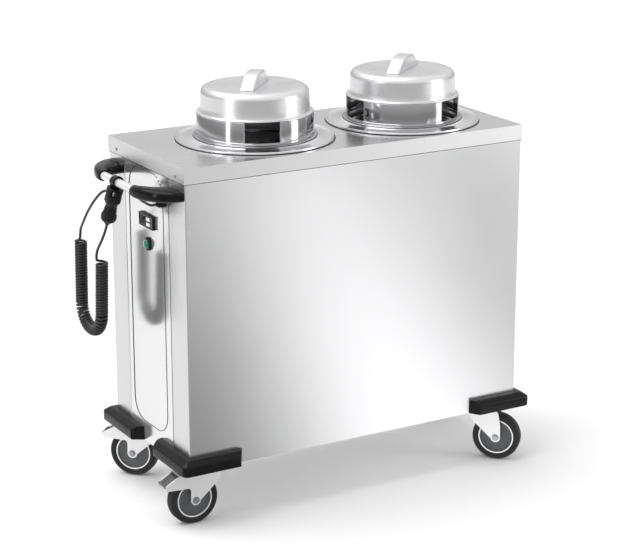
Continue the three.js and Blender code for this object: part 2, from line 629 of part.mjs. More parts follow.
// ---------------------------------------------------------------- castors
function makeCastor({ name, sx, sy, heading, brake }) {
  const spot = placed(sx * castorX, sy * castorY, 0);
  const plateTop = BODY_BOTTOM - SEAT;
  const plateFoot = plateTop - CASTOR_PLATE_SHEET;
  const raceFoot = plateFoot - RACE_HEIGHT;
  const half = CASTOR_PLATE / 2;
  const plate = raised(roundedRectangle(half, -half, half, 8, 2), plateFoot, plateTop);
  const race = turned([
    [0, raceFoot],
    [RACE_RADIUS - 4, raceFoot],
    [RACE_RADIUS, plateFoot + 1],
    [0, plateFoot + 1],
  ], 24);
  add(`${name}_castor_plate`, joined(plate, race), zinc, spot);

  // fork: X runs from the swivel's axis towards the axle
  const swivel = placed(0, 0, 0, heading, spot);
  const crownTop = raceFoot - SEAT;
  const crownFoot = WHEEL_RADIUS * 2 - WHEEL_RADIUS * (1 - Math.sqrt(1 - (TRAIL / WHEEL_RADIUS) ** 2)) + CROWN_GAP;
  const sideInner = WHEEL_WIDTH / 2 + FORK_GAP;
  const sideOuter = sideInner + FORK_SHEET;
  const back = TRAIL + (brake ? BRAKE_ARM : FORK_BACK);
  const crownEnd = back - (brake ? BRAKE_ARM_SLOPE : 8);
  const armFoot = WHEEL_RADIUS + BRAKE_ARM_RISE;
  const rear = brake ? [
    [TRAIL + HUB_RADIUS, armFoot - 6],
    [TRAIL + HUB_RADIUS + 6, armFoot],
    [back, armFoot + 3],
    [back, armFoot + BRAKE_ARM_NOSE],
  ] : [
    [TRAIL + HUB_RADIUS + 4, WHEEL_RADIUS + 26],
    [back, crownTop - 24],
    [back, crownTop - 6],
  ];
  const side = [
    ...arcPoints(TRAIL, WHEEL_RADIUS, HUB_RADIUS, -160, -20, 5),
    ...rear,
    [crownEnd, crownTop],
    [-RACE_RADIUS, crownTop],
    [-RACE_RADIUS, crownTop - 12],
  ];
  const cheek = (y) => raised(side, 0, FORK_SHEET).rotateX(Math.PI / 2).translate(0, y + FORK_SHEET, 0);
  const crown = block(-RACE_RADIUS, crownEnd, -sideOuter, sideOuter, crownTop - FORK_SHEET, crownTop);
  const boltEnd = sideOuter + BOLT_HEAD_HEIGHT;
  const bolt = turned(rodProfile(AXLE_RADIUS, -boltEnd, boltEnd), 12);
  const heads = [-sideOuter - BOLT_HEAD_HEIGHT, sideOuter].map((z) =>
    turned(rodProfile(BOLT_HEAD, z, z + BOLT_HEAD_HEIGHT), 6));
  const axle = [bolt, ...heads].map((g) => g.rotateX(Math.PI / 2).translate(TRAIL, 0, WHEEL_RADIUS));
  add(`${name}_castor_fork`, joined(cheek(sideInner), cheek(-sideOuter), crown, ...axle), zinc, swivel);

  // wheel, turned about its axle
  const wheel = placed(TRAIL, 0, WHEEL_RADIUS, 0, swivel);
  wheel.rotation.x = Math.PI / 2;
  const w = WHEEL_WIDTH / 2;
  add(`${name}_tyre`, turned([
    [RIM_RADIUS, -w + 2],
    ...arcPoints(WHEEL_RADIUS - TREAD_ROUND, -w + TREAD_ROUND, TREAD_ROUND, -80, 0, 2),
    ...arcPoints(WHEEL_RADIUS - TREAD_ROUND, w - TREAD_ROUND, TREAD_ROUND, 0, 80, 2),
    [RIM_RADIUS, w - 2],
  ], WHEEL_FACETS), blackRubber, wheel);
  const rim = RIM_RADIUS - SEAT;
  const bore = AXLE_RADIUS + SEAT;
  const hub = w + FORK_GAP - SEAT;
  add(`${name}_wheel`, turned([
    [bore, -hub],
    [HUB_RADIUS, -hub],
    [HUB_RADIUS, -w + 7],
    [rim - 7, -w + 7],
    [rim, -w + 2],
    [rim, w - 2],
    [rim - 7, w - 7],
    [HUB_RADIUS, w - 7],
    [HUB_RADIUS, hub],
    [bore, hub],
  ], WHEEL_FACETS), wheelGrey, wheel);

  if (!brake) return;
  const pedalZ = crownTop - PEDAL_DROP;
  const lever = placed(back - PEDAL_INSET, 0, pedalZ, 0, swivel);
  lever.rotation.set(0, THREE.MathUtils.degToRad(PEDAL_SLOPE), 0);
  const width = sideInner - SEAT;
  const tread = block(0, PEDAL_LENGTH, -width, width, -PEDAL_SHEET, 0);
  const cheeks = [-1, 1].map((s) => block(0, PEDAL_LENGTH - 6, Math.min(s * width, s * (width - 3)),
    Math.max(s * width, s * (width - 3)), -PEDAL_CHEEK, 0));
  const lip = block(PEDAL_LENGTH - 4, PEDAL_LENGTH, -width, width, -PEDAL_SHEET, 4);
  const pin = turned(rodProfile(PEDAL_PIN, -width, width), 8).rotateX(Math.PI / 2)
    .translate(PEDAL_PIN, 0, -PEDAL_SHEET);
  add(`${name}_brake_pedal`, joined(tread, ...cheeks, lip, pin), zinc, lever);
}

// ---------------------------------------------------------------- cord, plug and holder
const fromTube = (x, y, z) => new THREE.Vector3(handleX + x, y, handleZ + z);
const fromHolder = (x, y, z) => fromTube(x, HOLDER_Y + y, z);

// The middle line of the curly cord's loop: down the left arm, round the bottom, up the right arm.
function coilAxis() {
  const bendY = (COIL_ARM_LEFT.bend + COIL_ARM_RIGHT.bend) / 2;
  const bendX = (COIL_ARM_LEFT.x + COIL_ARM_RIGHT.x) / 2;
  const bendRadius = (COIL_ARM_LEFT.bend - COIL_ARM_RIGHT.bend) / 2;
  const path = new THREE.CurvePath();
  const leftFoot = fromTube(COIL_ARM_LEFT.x, COIL_ARM_LEFT.bend, COIL_BEND);
  const rightFoot = fromTube(COIL_ARM_RIGHT.x, COIL_ARM_RIGHT.bend, COIL_BEND);
  const bend = [];
  for (let i = 0; i <= 12; i += 1) {
    const a = (Math.PI * i) / 12;
    bend.push(fromTube(
      bendX + ((COIL_ARM_LEFT.x - COIL_ARM_RIGHT.x) / 2) * Math.cos(a),
      bendY + bendRadius * Math.cos(a),
      COIL_BEND - bendRadius * Math.sin(a)));
  }
  path.add(new THREE.LineCurve3(fromTube(COIL_ARM_LEFT.x, COIL_ARM_LEFT.top, COIL_TOP_LEFT), leftFoot));
  path.add(new THREE.CatmullRomCurve3(bend));
  path.add(new THREE.LineCurve3(rightFoot, fromTube(COIL_ARM_RIGHT.x, COIL_ARM_RIGHT.top, COIL_TOP_RIGHT)));
  return path;
}

// Points of the wound cord, a set number to each curl. The curls stand wider apart round the bend, and
// at both ends the cord turns out of its last curl until it runs along the loop.
function curlPoints(stepsPerCurl) {
  const axis = coilAxis();
  const total = axis.getLength();
  const [leftArm, bend] = axis.curves.map((curve) => curve.getLength());
  const blend = 12; // length over which the pitch changes
  const pitchAt = (s) => {
    const inBend = Math.min(s - leftArm, leftArm + bend - s);
    const share = THREE.MathUtils.smoothstep(inBend, -blend, blend);
    return CURL_PITCH + (BEND_PITCH - CURL_PITCH) * share;
  };
  const meanRadius = (COIL_DIAMETER - CORD_DIAMETER) / 2;
  const pointAt = (s, turns) => {
    const share = THREE.MathUtils.clamp(s / total, 0, 1);
    const tangent = axis.getTangentAt(share);
    const across = new THREE.Vector3(-1, 0, 0).projectOnPlane(tangent).normalize();
    const beside = new THREE.Vector3().crossVectors(tangent, across);
    const a = 2 * Math.PI * turns;
    return axis.getPointAt(share).addScaledVector(tangent, s - share * total)
      .addScaledVector(across, meanRadius * Math.cos(a))
      .addScaledVector(beside, meanRadius * Math.sin(a));
  };
  const runOut = (s, turns, sense) => Array.from({ length: stepsPerCurl / 2 }, (_, i) => {
    const u = (2 * (i + 1)) / stepsPerCurl;
    const wound = 2 * RUNOUT_TURN * CURL_PITCH;
    const along = wound * u + (RUNOUT_RISE - wound) * u * u;
    return pointAt(s + sense * along, turns + sense * RUNOUT_TURN * (2 * u - u * u));
  });

  let s = 0;
  let turns = CURL_PHASE / 360;
  const points = runOut(s, turns, -1).reverse();
  while (s <= total) {
    points.push(pointAt(s, turns));
    s += pitchAt(s) / stepsPerCurl;
    turns += 1 / stepsPerCurl;
  }
  s -= pitchAt(s) / stepsPerCurl;
  turns -= 1 / stepsPerCurl;
  return [...points, ...runOut(s, turns, 1)];
}

// The ends run on straight for one diameter, and then meet the leads.
function withStraightEnds(points) {
  const first = points[0];
  const last = points[points.length - 1];
  const outStart = new THREE.Vector3().subVectors(first, points[1]).normalize();
  const outEnd = new THREE.Vector3().subVectors(last, points[points.length - 2]).normalize();
  return [first.clone().addScaledVector(outStart, CORD_DIAMETER), ...points,
    last.clone().addScaledVector(outEnd, CORD_DIAMETER)];
}

function leastGap(points, diameter, skip) {
  let least = Infinity;
  for (let i = 0; i < points.length; i += 1) {
    for (let j = i + skip; j < points.length; j += 1) {
      least = Math.min(least, points[i].distanceTo(points[j]));
    }
  }
  return least - diameter;
}

// One unbroken tube with a ring of its section at each of the points.
function woundTube(points, diameter, sides) {
  const vertices = [];
  const index = [];
  let side = null;
  points.forEach((point, i) => {
    const tangent = new THREE.Vector3()
      .subVectors(points[Math.min(i + 1, points.length - 1)], points[Math.max(i - 1, 0)]).normalize();
    side = (side ?? new THREE.Vector3(0, 0, 1)).clone().projectOnPlane(tangent).normalize();
    const other = new THREE.Vector3().crossVectors(tangent, side);
    for (let k = 0; k < sides; k += 1) {
      const a = (2 * Math.PI * k) / sides;
      const v = point.clone().addScaledVector(side, (diameter / 2) * Math.cos(a))
        .addScaledVector(other, (diameter / 2) * Math.sin(a));
      vertices.push(v.x, v.y, v.z);
    }
  });
  for (let i = 0; i + 1 < points.length; i += 1) {
    for (let k = 0; k < sides; k += 1) {
      const a = i * sides + k;
      const b = i * sides + ((k + 1) % sides);
      index.push(a, b, b + sides, a, b + sides, a + sides);
    }
  }
  const lastRing = (points.length - 1) * sides;
  for (let k = 1; k + 1 < sides; k += 1) {
    index.push(0, k + 1, k);
    index.push(lastRing, lastRing + k, lastRing + k + 1);
  }
  const geometry = new THREE.BufferGeometry();
  geometry.setAttribute("position", new THREE.Float32BufferAttribute(vertices, 3));
  geometry.setIndex(index);
  geometry.computeVertexNormals();
  return geometry;
}

// A lead along chosen points, a step every two or three diameters.
function lead(points) {
  const curve = new THREE.CatmullRomCurve3(points, false, "centripetal");
  const steps = Math.round(curve.getLength() / (2.4 * CORD_DIAMETER));
  const section = shapeOf(arcPoints(0, 0, CORD_DIAMETER / 2, 0, 360 - 360 / LEAD_SIDES, LEAD_SIDES - 1));
  return new THREE.ExtrudeGeometry(section, { extrudePath: curve, steps, bevelEnabled: false });
}

// Points that run straight out of an end, one and two diameters on.
const straightOut = (from, direction) =>
  [0, 1, 2].map((n) => from.clone().addScaledVector(direction, n * CORD_DIAMETER));

// A solid drawn about Z, turned to stand along a direction and set down at a point.
function standing(geometry, direction, at) {
  const turn = new THREE.Quaternion().setFromUnitVectors(new THREE.Vector3(0, 0, 1), direction);
  return geometry.applyQuaternion(turn).translate(at.x, at.y, at.z);
}

function makeCord() {
  const fine = 48;
  const gap = leastGap(curlPoints(fine), CORD_DIAMETER, fine / 2);
  const coil = withStraightEnds(curlPoints(CURL_STEPS));
  console.log(`curly cord: ${(coil.length / CURL_STEPS).toFixed(1)} curls, least gap ${gap.toFixed(2)} mm`);
  add("curly_cord", woundTube(coil, CORD_DIAMETER, CORD_SIDES), cordBlack);
  const [coilStart, coilEnd] = [coil[0], coil[coil.length - 1]];
  const startOut = new THREE.Vector3().subVectors(coilStart, coil[1]).normalize();
  const endOut = new THREE.Vector3().subVectors(coilEnd, coil[coil.length - 2]).normalize();

  const glandZ = DECK_HEIGHT - GLAND_DROP;
  add("cord_gland", facingOut(turned([
    [0, 0],
    [GLAND_RADIUS, 0],
    [GLAND_RADIUS, GLAND_LENGTH * 0.35],
    [GLAND_RADIUS * 0.8, GLAND_LENGTH * 0.4],
    [GLAND_RADIUS * 0.8, GLAND_LENGTH * 0.75],
    [GLAND_RADIUS * 0.45, GLAND_LENGTH],
    [0, GLAND_LENGTH],
  ], 12)), blackMoulding, placed(endFace - SEAT, GLAND_Y, glandZ));

  // supply lead: out of the gland, under the tube and behind the plug's cup, through the eye, down to the coil
  const eye = fromHolder(...EYE);
  const eyeLean = new THREE.Vector3(...EYE_LEAN).normalize();
  const glandFace = new THREE.Vector3(endFace - 2 * SEAT - GLAND_LENGTH, GLAND_Y, glandZ);
  add("supply_lead", lead([
    ...straightOut(glandFace, new THREE.Vector3(-1, 0, 0)),
    fromTube(26.2, -72, -31),
    fromTube(23.2, -36, -23),
    fromTube(24.2, -4, -19),
    fromTube(22.7, 17, -18.5),
    fromTube(17.2, 34, -20.5),
    eye.clone().addScaledVector(eyeLean, -EYE_LENGTH),
    eye.clone().addScaledVector(eyeLean, EYE_LENGTH),
    fromTube(-10.8, 72, -35.5),
    fromTube(-18.3, 92, -54),
    fromTube(-22.3, 115, -77),
    fromTube(-23.8, 140, -103),
    fromTube(-23.8, 163, -129),
    ...straightOut(coilStart.clone().addScaledVector(startOut, SEAT), startOut).reverse(),
  ]), cordBlack);

  // plug hanging in the holder, drawn along its own length from the tube's axis
  const lean = new THREE.Vector3(...PLUG_LEAN).normalize();
  const handle = fromHolder(0, 0, 0);
  const cupStart = HANDLE_TUBE + HOLDER_WALL - 2;
  const cupEnd = cupStart + CUP_HEIGHT;
  const face = cupEnd + SEAT;
  const pinSpots = [-PIN_PITCH / 2, PIN_PITCH / 2];
  const pins = pinSpots.map((x) => turned(rodProfile(PIN_RADIUS, face - PIN_LENGTH, face + 2), 8).translate(x, 0, 0));
  add("plug", standing(joined(turned([
    [0, face],
    [PLUG_HEAD, face],
    [PLUG_HEAD, face + 20],
    [PLUG_HEAD - 5, face + 28],
    [PLUG_WAIST, face + 32],
    [PLUG_WAIST + 2, face + 50],
    [PLUG_GRIP, face + 54],
    [PLUG_GRIP, face + 64],
    [PLUG_GRIP / 2, face + 70],
    [CORD_DIAMETER / 2 + 1.5, face + PLUG_LENGTH],
    [0, face + PLUG_LENGTH],
  ], 20), ...pins), lean, handle), blackRubber);

  // holder: a ring round the tube, a cup that the pins go into, and an arm with an eye for the lead
  const halfWidth = HOLDER_WIDTH / 2;
  const upright = new THREE.Vector3(0, 1, 0);
  const ring = standing(turned(tubeProfile(HANDLE_TUBE + SEAT, HANDLE_TUBE + HOLDER_WALL, -halfWidth, halfWidth), 20),
    upright, handle);
  const passage = standing(turned(rodProfile(HANDLE_TUBE + SEAT, -HOLDER_WIDTH * 2, HOLDER_WIDTH * 2), 20),
    upright, handle);
  const cup = standing(turned([
    [0, cupStart],
    [CUP_RADIUS - 8, cupStart],
    [CUP_RADIUS, cupStart + 6],
    [CUP_RADIUS, cupEnd],
    [0, cupEnd],
  ], 20), lean, handle);
  const pinHoles = pinSpots.map((x) => standing(
    turned(rodProfile(PIN_RADIUS + SEAT, face - PIN_LENGTH - SEAT, face + 2), 8).translate(x, 0, 0), lean, handle));
  const [armStart, armEnd] = EYE_ARM.map((spot) => fromHolder(...spot));
  const armRun = new THREE.Vector3().subVectors(armEnd, armStart);
  const armRod = turned(rodProfile(EYE_ARM_RADIUS, 0, armRun.length()), 8);
  const arm = standing(armRod, armRun.clone().normalize(), armStart);
  const eyeTube = turned(rodProfile(EYE_BORE + EYE_WALL, -EYE_LENGTH / 2, EYE_LENGTH / 2), 12);
  const eyeRing = standing(eyeTube, eyeLean, eye);
  const eyeBore = standing(turned(rodProfile(EYE_BORE, -EYE_LENGTH, EYE_LENGTH), 12), eyeLean, eye);
  add("plug_holder", cut(joined(ring, cup, arm, eyeRing), passage, eyeBore, ...pinHoles), blackMoulding);

  const plugEnd = handle.clone().addScaledVector(lean, face + PLUG_LENGTH + SEAT);
  add("plug_lead", lead([
    ...straightOut(coilEnd.clone().addScaledVector(endOut, SEAT), endOut),
    fromTube(-21.8, 66, -153),
    ...straightOut(plugEnd, lean).reverse(),
  ]), cordBlack);
}

// ---------------------------------------------------------------- assembly
makeCabinet();
WELL_NAMES.forEach((_, index) => {
  makeWell(index);
  makeLid(index);
});
makeHandle();
makeControls();
for (const sx of [-1, 1]) {
  for (const sy of [-1, 1]) {
    makeBumper(`${sy < 0 ? "front" : "back"}_${sx < 0 ? "left" : "right"}_bumper`, sx, sy);
  }
}
CASTORS.forEach(makeCastor);
makeCord();

// The origin is on the floor under the middle of the cart's outline, the cord and plug left out.
const outlineBox = new THREE.Box3();
group.updateMatrixWorld(true);
group.traverse((piece) => {
  const loose = ["curly_cord", "supply_lead", "plug_lead", "plug"].includes(piece.name);
  if (piece.isMesh && !loose) outlineBox.expandByObject(piece, true);
});
const middle = outlineBox.getCenter(new THREE.Vector3());
group.position.set(-middle.x, -middle.y, -outlineBox.min.z);

export default group;
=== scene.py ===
import math
from math import cos, pi, radians, sin

import bmesh
import bpy
from mathutils import Matrix, Vector

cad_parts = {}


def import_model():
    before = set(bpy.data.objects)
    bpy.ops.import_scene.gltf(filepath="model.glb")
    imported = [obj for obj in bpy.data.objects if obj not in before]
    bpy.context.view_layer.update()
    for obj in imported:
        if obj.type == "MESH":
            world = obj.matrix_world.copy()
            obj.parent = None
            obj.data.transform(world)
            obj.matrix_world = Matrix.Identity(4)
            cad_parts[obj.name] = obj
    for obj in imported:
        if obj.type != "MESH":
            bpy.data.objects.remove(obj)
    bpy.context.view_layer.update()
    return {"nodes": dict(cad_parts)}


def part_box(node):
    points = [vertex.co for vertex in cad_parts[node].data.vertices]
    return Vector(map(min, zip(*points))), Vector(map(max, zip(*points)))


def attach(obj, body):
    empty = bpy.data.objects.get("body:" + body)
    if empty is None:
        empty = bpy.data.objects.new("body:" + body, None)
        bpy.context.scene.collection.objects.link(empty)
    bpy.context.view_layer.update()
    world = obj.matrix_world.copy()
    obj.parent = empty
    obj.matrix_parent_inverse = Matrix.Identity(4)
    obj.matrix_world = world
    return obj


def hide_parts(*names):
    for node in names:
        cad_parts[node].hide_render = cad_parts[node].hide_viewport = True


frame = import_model()
NODES = frame["nodes"]

MM = 0.001
deck_low, deck_high = (Vector(corner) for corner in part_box("deck_top"))
CABINET = (Matrix.Translation(((deck_low.x + deck_high.x) / 2, (deck_low.y + deck_high.y) / 2, 0))
           @ Matrix.Scale(MM, 4))

# ---------------------------------------------------------------- driving dimensions, as in the CAD
SEAT = 0.3  # between pieces that stand on each other
DECK = 888
LIP_FOOT = DECK - 38.2
HALF_LENGTH = 469.2
HALF_WIDTH = 204.7
BODY_BOTTOM = 147
END_FACE = -HALF_LENGTH
FIELD_FACE = END_FACE - 1.2
PANEL_SEAM = (117.05, 118.45)
# the painted shade round a pressed field: half its width, its foot, its top and the radius of its corners
FIELD_SHADE_OUTSIDE = (92.3, 199.8, 842.4, 52.2)
FIELD_SHADE_INSIDE = (88.9, 202.2, 841.9, 50)
FIELD_SHADE_SHIFT = 3.2
WELLS = {"left": -175, "right": 246}
WINDOW_TURN = {"left": 8.8, "right": 58.4}
GRIP_TURN = {"left": 48, "right": 40}
NECK = 147  # inside of the well's neck
GUIDE_INSIDE = 140.5
GUIDE_OUTSIDE = 142.5
GUIDE_SPAN = 85
GUIDE_TOP = DECK + 66
HANDLE = Vector((END_FACE - 70, 0, DECK - 68))
HOOK = HANDLE + Vector((0, 12, 0))  # where the plug's holder hangs on the handle
ACROSS = Vector((0, 1, 0))
OUTWARDS = Vector((-1, 0, 0))  # from the handle end
CONTROLLER = (-9.5, DECK - 166)  # Y and Z of its middle
SWITCH_Y = -10
SWITCH_Z = DECK - 223
CASTORS = {
    "front_left": (-405, -160, 180, True),
    "back_left": (-405, 160, 134, True),
    "front_right": (405, -160, -46, False),
    "back_right": (405, 160, 12, False),
}
WHEEL = 62.5
AXLE = 38  # from the swivel's axis to the wheel's
CROWN = 133.4  # top of the fork

# ---------------------------------------------------------------- fineness
ROUND = 128  # facets of large round pieces
WHEEL_ROUND = 96
SMALL_ROUND = 64
SHARP = 35  # degrees between faces from which an edge is sharp

# ---------------------------------------------------------------- camera, from the photo's vanishing lines
IMAGE_WIDTH = 640
CAMERA_PLACE = (-2420.35, -4165.0, 1949.0)
CAMERA_YAW = 0.527604795
CAMERA_PITCH = 0.290758922
FOCAL_PIXELS = 1994.96
SENSOR = 36
VIEW_REACH = 100

# ---------------------------------------------------------------- studio, in metres and watts
ROOM_LIGHT = 0.68
ROOM_SHADES = [(0.0, 0.42), (0.12, 0.5), (0.4, 0.85), (1.0, 1.0)]  # from the horizon up
SUN_PLACE = (-1.2, 0.7, 3.0)
SUN_LIGHT = 1.5
SUN_WIDTH = 50
BANKS = {  # place, target, width, height, power
    "left_bank": ((-3.2, -0.5, 1.3), (-0.2, 0, 0.9), 0.3, 2.2, 10),
    "right_bank": ((2.6, -2.1, 1.3), (0.2, -0.1, 0.9), 0.9, 2.0, 18),
}
FLOOR_REACH = 9
FLOOR_ROUGHNESS = 0.9
BAND_SLANT = 0.43
BAND_MIDDLE = 0.25
BAND_REACH = 1.0
BAND_GLOW = 2.12
BAND_SHADES = [  # place and level, as in the room's
    (0.0, 0.26), (0.07, 0.15), (0.15, 0.15), (0.26, 0.36), (0.36, 0.66), (0.47, 0.78), (0.57, 0.64),
    (0.68, 0.42), (0.78, 0.3), (0.9, 0.33), (1.0, 0.48),
]
BAND_END = (-0.35, 0.1)  # where along Y the band gives way to the even floor behind
BEHIND_SHADE = (0.5, 0.5, 0.5)

# ---------------------------------------------------------------- patterns
PATTERN_LOW, PATTERN_HIGH = 0.3, 0.7  # the part of a noise that is used
METAL_FINE = (90, 6)  # scale and detail
METAL_SLOW = (3.5, 2)
SPUN_FINE = (60, 6)
SPUN_CLOUDS = (14, 3)
MOULDED_DETAIL = 3
MOULDED_WEAR = (22, MOULDED_DETAIL)
METAL_RELIEF = 0.00001
MOULDED_RELIEF = 0.00002
UPRIGHT_GRAIN = (30, 30, 1)
LONG_GRAIN = (1, 30, 30)
LEVEL_GRAIN = (1, 1, 20)
SPUN_GRAIN = (1, 1, 24)
NO_GRAIN = (6, 6, 6)


def world(*point):
    return CABINET @ Vector(point)


# ---------------------------------------------------------------- camera and light
def make_camera():
    data = bpy.data.cameras.new("camera")
    data.sensor_width = SENSOR
    data.lens = FOCAL_PIXELS * SENSOR / IMAGE_WIDTH
    data.clip_end = VIEW_REACH
    camera = bpy.data.objects.new("camera", data)
    camera.location = world(*CAMERA_PLACE)
    camera.rotation_euler = (pi / 2 - CAMERA_PITCH, 0, -CAMERA_YAW)
    bpy.context.collection.objects.link(camera)
    bpy.context.scene.camera = camera


def add_light(name, kind, power, turn):
    data = bpy.data.lights.new(name, kind)
    data.energy = power
    light = bpy.data.objects.new(name, data)
    light.rotation_euler = turn.to_euler()
    bpy.context.collection.objects.link(light)
    return light


def softbox(name, place, target, width, height, power):
    light = add_light(name, "AREA", power, (Vector(target) - Vector(place)).to_track_quat("-Z", "Y"))
    light.location = place
    light.data.shape = "RECTANGLE"
    light.data.size = width
    light.data.size_y = height


def make_lights():
    sun = add_light("overhead", "SUN", SUN_LIGHT, Vector(SUN_PLACE).to_track_quat("Z", "Y"))
    sun.data.angle = radians(SUN_WIDTH)
    for name, bank in BANKS.items():
        softbox(name, *bank)


def background(nodes, strength):
    node = nodes.new("ShaderNodeBackground")
    node.inputs["Color"].default_value = (1, 1, 1, 1)
    node.inputs["Strength"].default_value = strength
    return node


def ramp(nodes, shades):
    """A smooth colour ramp of greys."""
    node = nodes.new("ShaderNodeValToRGB")
    node.color_ramp.interpolation = "B_SPLINE"
    while len(node.color_ramp.elements) < len(shades):
        node.color_ramp.elements.new(0.5)
    for element, (place, level) in zip(node.color_ramp.elements, shades):
        element.position = place
        element.color = (level, level, level, 1)
    return node


def axes(nodes, links, value):
    node = nodes.new("ShaderNodeSeparateXYZ")
    links.new(value, node.inputs["Vector"])
    return node.outputs


def switched(nodes, links, ray, others, shown):
    """One shader for rays of a kind and another for all others."""
    path = nodes.new("ShaderNodeLightPath")
    mix = nodes.new("ShaderNodeMixShader")
    links.new(path.outputs[ray], mix.inputs["Fac"])
    links.new(others, mix.inputs[1])
    links.new(shown, mix.inputs[2])
    return mix.outputs["Shader"]


def mixed(nodes, links, share, colour, other):
    """A colour that goes over into another, even one."""
    node = nodes.new("ShaderNodeMix")
    node.data_type = "RGBA"
    first, second, result = node.inputs[6], node.inputs[7], node.outputs[2]  # the sockets for colours
    links.new(share, node.inputs["Factor"])
    links.new(colour, first)
    second.default_value = (*other, 1)
    return result


def make_room():
    """White to the eye. What the metal mirrors is a studio, dim at eye level and lighter overhead."""
    room = bpy.data.worlds.new("studio")
    room.use_nodes = True
    nodes, links = room.node_tree.nodes, room.node_tree.links
    nodes.clear()
    height = axes(nodes, links, nodes.new("ShaderNodeTexCoord").outputs["Generated"])["Z"]
    shade = ramp(nodes, ROOM_SHADES)
    links.new(height, shade.inputs["Fac"])
    mirrored = background(nodes, 1.0)
    links.new(shade.outputs["Color"], mirrored.inputs["Color"])
    lit = switched(nodes, links, "Is Glossy Ray", background(nodes, ROOM_LIGHT).outputs["Background"],
                   mirrored.outputs["Background"])
    seen = switched(nodes, links, "Is Camera Ray", lit, background(nodes, 1.0).outputs["Background"])
    links.new(seen, nodes.new("ShaderNodeOutputWorld").inputs["Surface"])
    bpy.context.scene.world = room
    bpy.context.scene.view_settings.view_transform = "Standard"


def make_floor():
    """White to the eye. In what the metal mirrors, it has a bright band in front and is even behind."""
    mesh = bpy.data.meshes.new("floor")
    corners = [(-FLOOR_REACH, -FLOOR_REACH, 0), (FLOOR_REACH, -FLOOR_REACH, 0),
               (FLOOR_REACH, FLOOR_REACH, 0), (-FLOOR_REACH, FLOOR_REACH, 0)]
    mesh.from_pydata(corners, [], [(0, 1, 2, 3)])
    floor = bpy.data.objects.new("floor", mesh)
    bpy.context.collection.objects.link(floor)
    material, nodes, links, shader = new_material("studio_floor")
    shader.inputs["Base Color"].default_value = (1, 1, 1, 1)
    shader.inputs["Roughness"].default_value = FLOOR_ROUGHNESS
    shader.inputs["Specular IOR Level"].default_value = 0.0

    place = axes(nodes, links, nodes.new("ShaderNodeTexCoord").outputs["Object"])
    across = nodes.new("ShaderNodeMath")
    across.operation = "MULTIPLY_ADD"
    across.inputs[1].default_value = BAND_SLANT
    links.new(place["Y"], across.inputs[0])
    links.new(place["X"], across.inputs[2])
    spot = spread(nodes, links, across.outputs["Value"], 0, 1,
                  BAND_MIDDLE - BAND_REACH, BAND_MIDDLE + BAND_REACH)
    band = ramp(nodes, BAND_SHADES)
    links.new(spot, band.inputs["Fac"])
    behind = spread(nodes, links, place["Y"], 0, 1, *BAND_END)
    glow = nodes.new("ShaderNodeEmission")
    glow.inputs["Strength"].default_value = BAND_GLOW
    links.new(mixed(nodes, links, behind, band.outputs["Color"], BEHIND_SHADE), glow.inputs["Color"])
    surface = switched(nodes, links, "Is Glossy Ray", shader.outputs["BSDF"], glow.outputs["Emission"])
    links.new(surface, nodes["Material Output"].inputs["Surface"])
    mesh.materials.append(material)


# ---------------------------------------------------------------- materials
def new_material(name):
    material = bpy.data.materials.new(name)
    material.use_nodes = True
    nodes, links = material.node_tree.nodes, material.node_tree.links
    return material, nodes, links, nodes["Principled BSDF"]


def noise(nodes, links, scale, detail, stretch=(1, 1, 1)):
    """A noise pattern in the object's own metres, drawn out along the axes with the least stretch."""
    coordinates = nodes.new("ShaderNodeTexCoord")
    mapping = nodes.new("ShaderNodeMapping")
    mapping.inputs["Scale"].default_value = stretch
    pattern = nodes.new("ShaderNodeTexNoise")
    pattern.inputs["Scale"].default_value = scale
    pattern.inputs["Detail"].default_value = detail
    links.new(coordinates.outputs["Object"], mapping.inputs["Vector"])
    links.new(mapping.outputs["Vector"], pattern.inputs["Vector"])
    return pattern.outputs["Fac"]


def spread(nodes, links, value, low, high, start=PATTERN_LOW, end=PATTERN_HIGH):
    """A pattern's value from start to end, spread from low to high."""
    remap = nodes.new("ShaderNodeMapRange")
    remap.inputs["From Min"].default_value = start
    remap.inputs["From Max"].default_value = end
    remap.inputs["To Min"].default_value = low
    remap.inputs["To Max"].default_value = high
    links.new(value, remap.inputs["Value"])
    return remap.outputs["Result"]


def added(nodes, links, first, second):
    node = nodes.new("ShaderNodeMath")
    node.operation = "ADD"
    links.new(first, node.inputs[0])
    links.new(second, node.inputs[1])
    return node.outputs["Value"]


def tinted(nodes, links, value, low_tone, high_tone):
    """A colour between two tones, by a pattern's value."""
    node = nodes.new("ShaderNodeValToRGB")
    ends = ((PATTERN_LOW, low_tone), (PATTERN_HIGH, high_tone))
    for element, (place, tone) in zip(node.color_ramp.elements, ends):
        element.position = place
        element.color = (*tone, 1)
    links.new(value, node.inputs["Fac"])
    return node.outputs["Color"]


def scaled(tone, share, more=0.0):
    return tuple(min(1.0, c * share + more) for c in tone)


def bumped(nodes, links, shader, height, strength, distance):
    bump = nodes.new("ShaderNodeBump")
    bump.inputs["Strength"].default_value = strength
    bump.inputs["Distance"].default_value = distance
    links.new(height, bump.inputs["Height"])
    links.new(bump.outputs["Normal"], shader.inputs["Normal"])


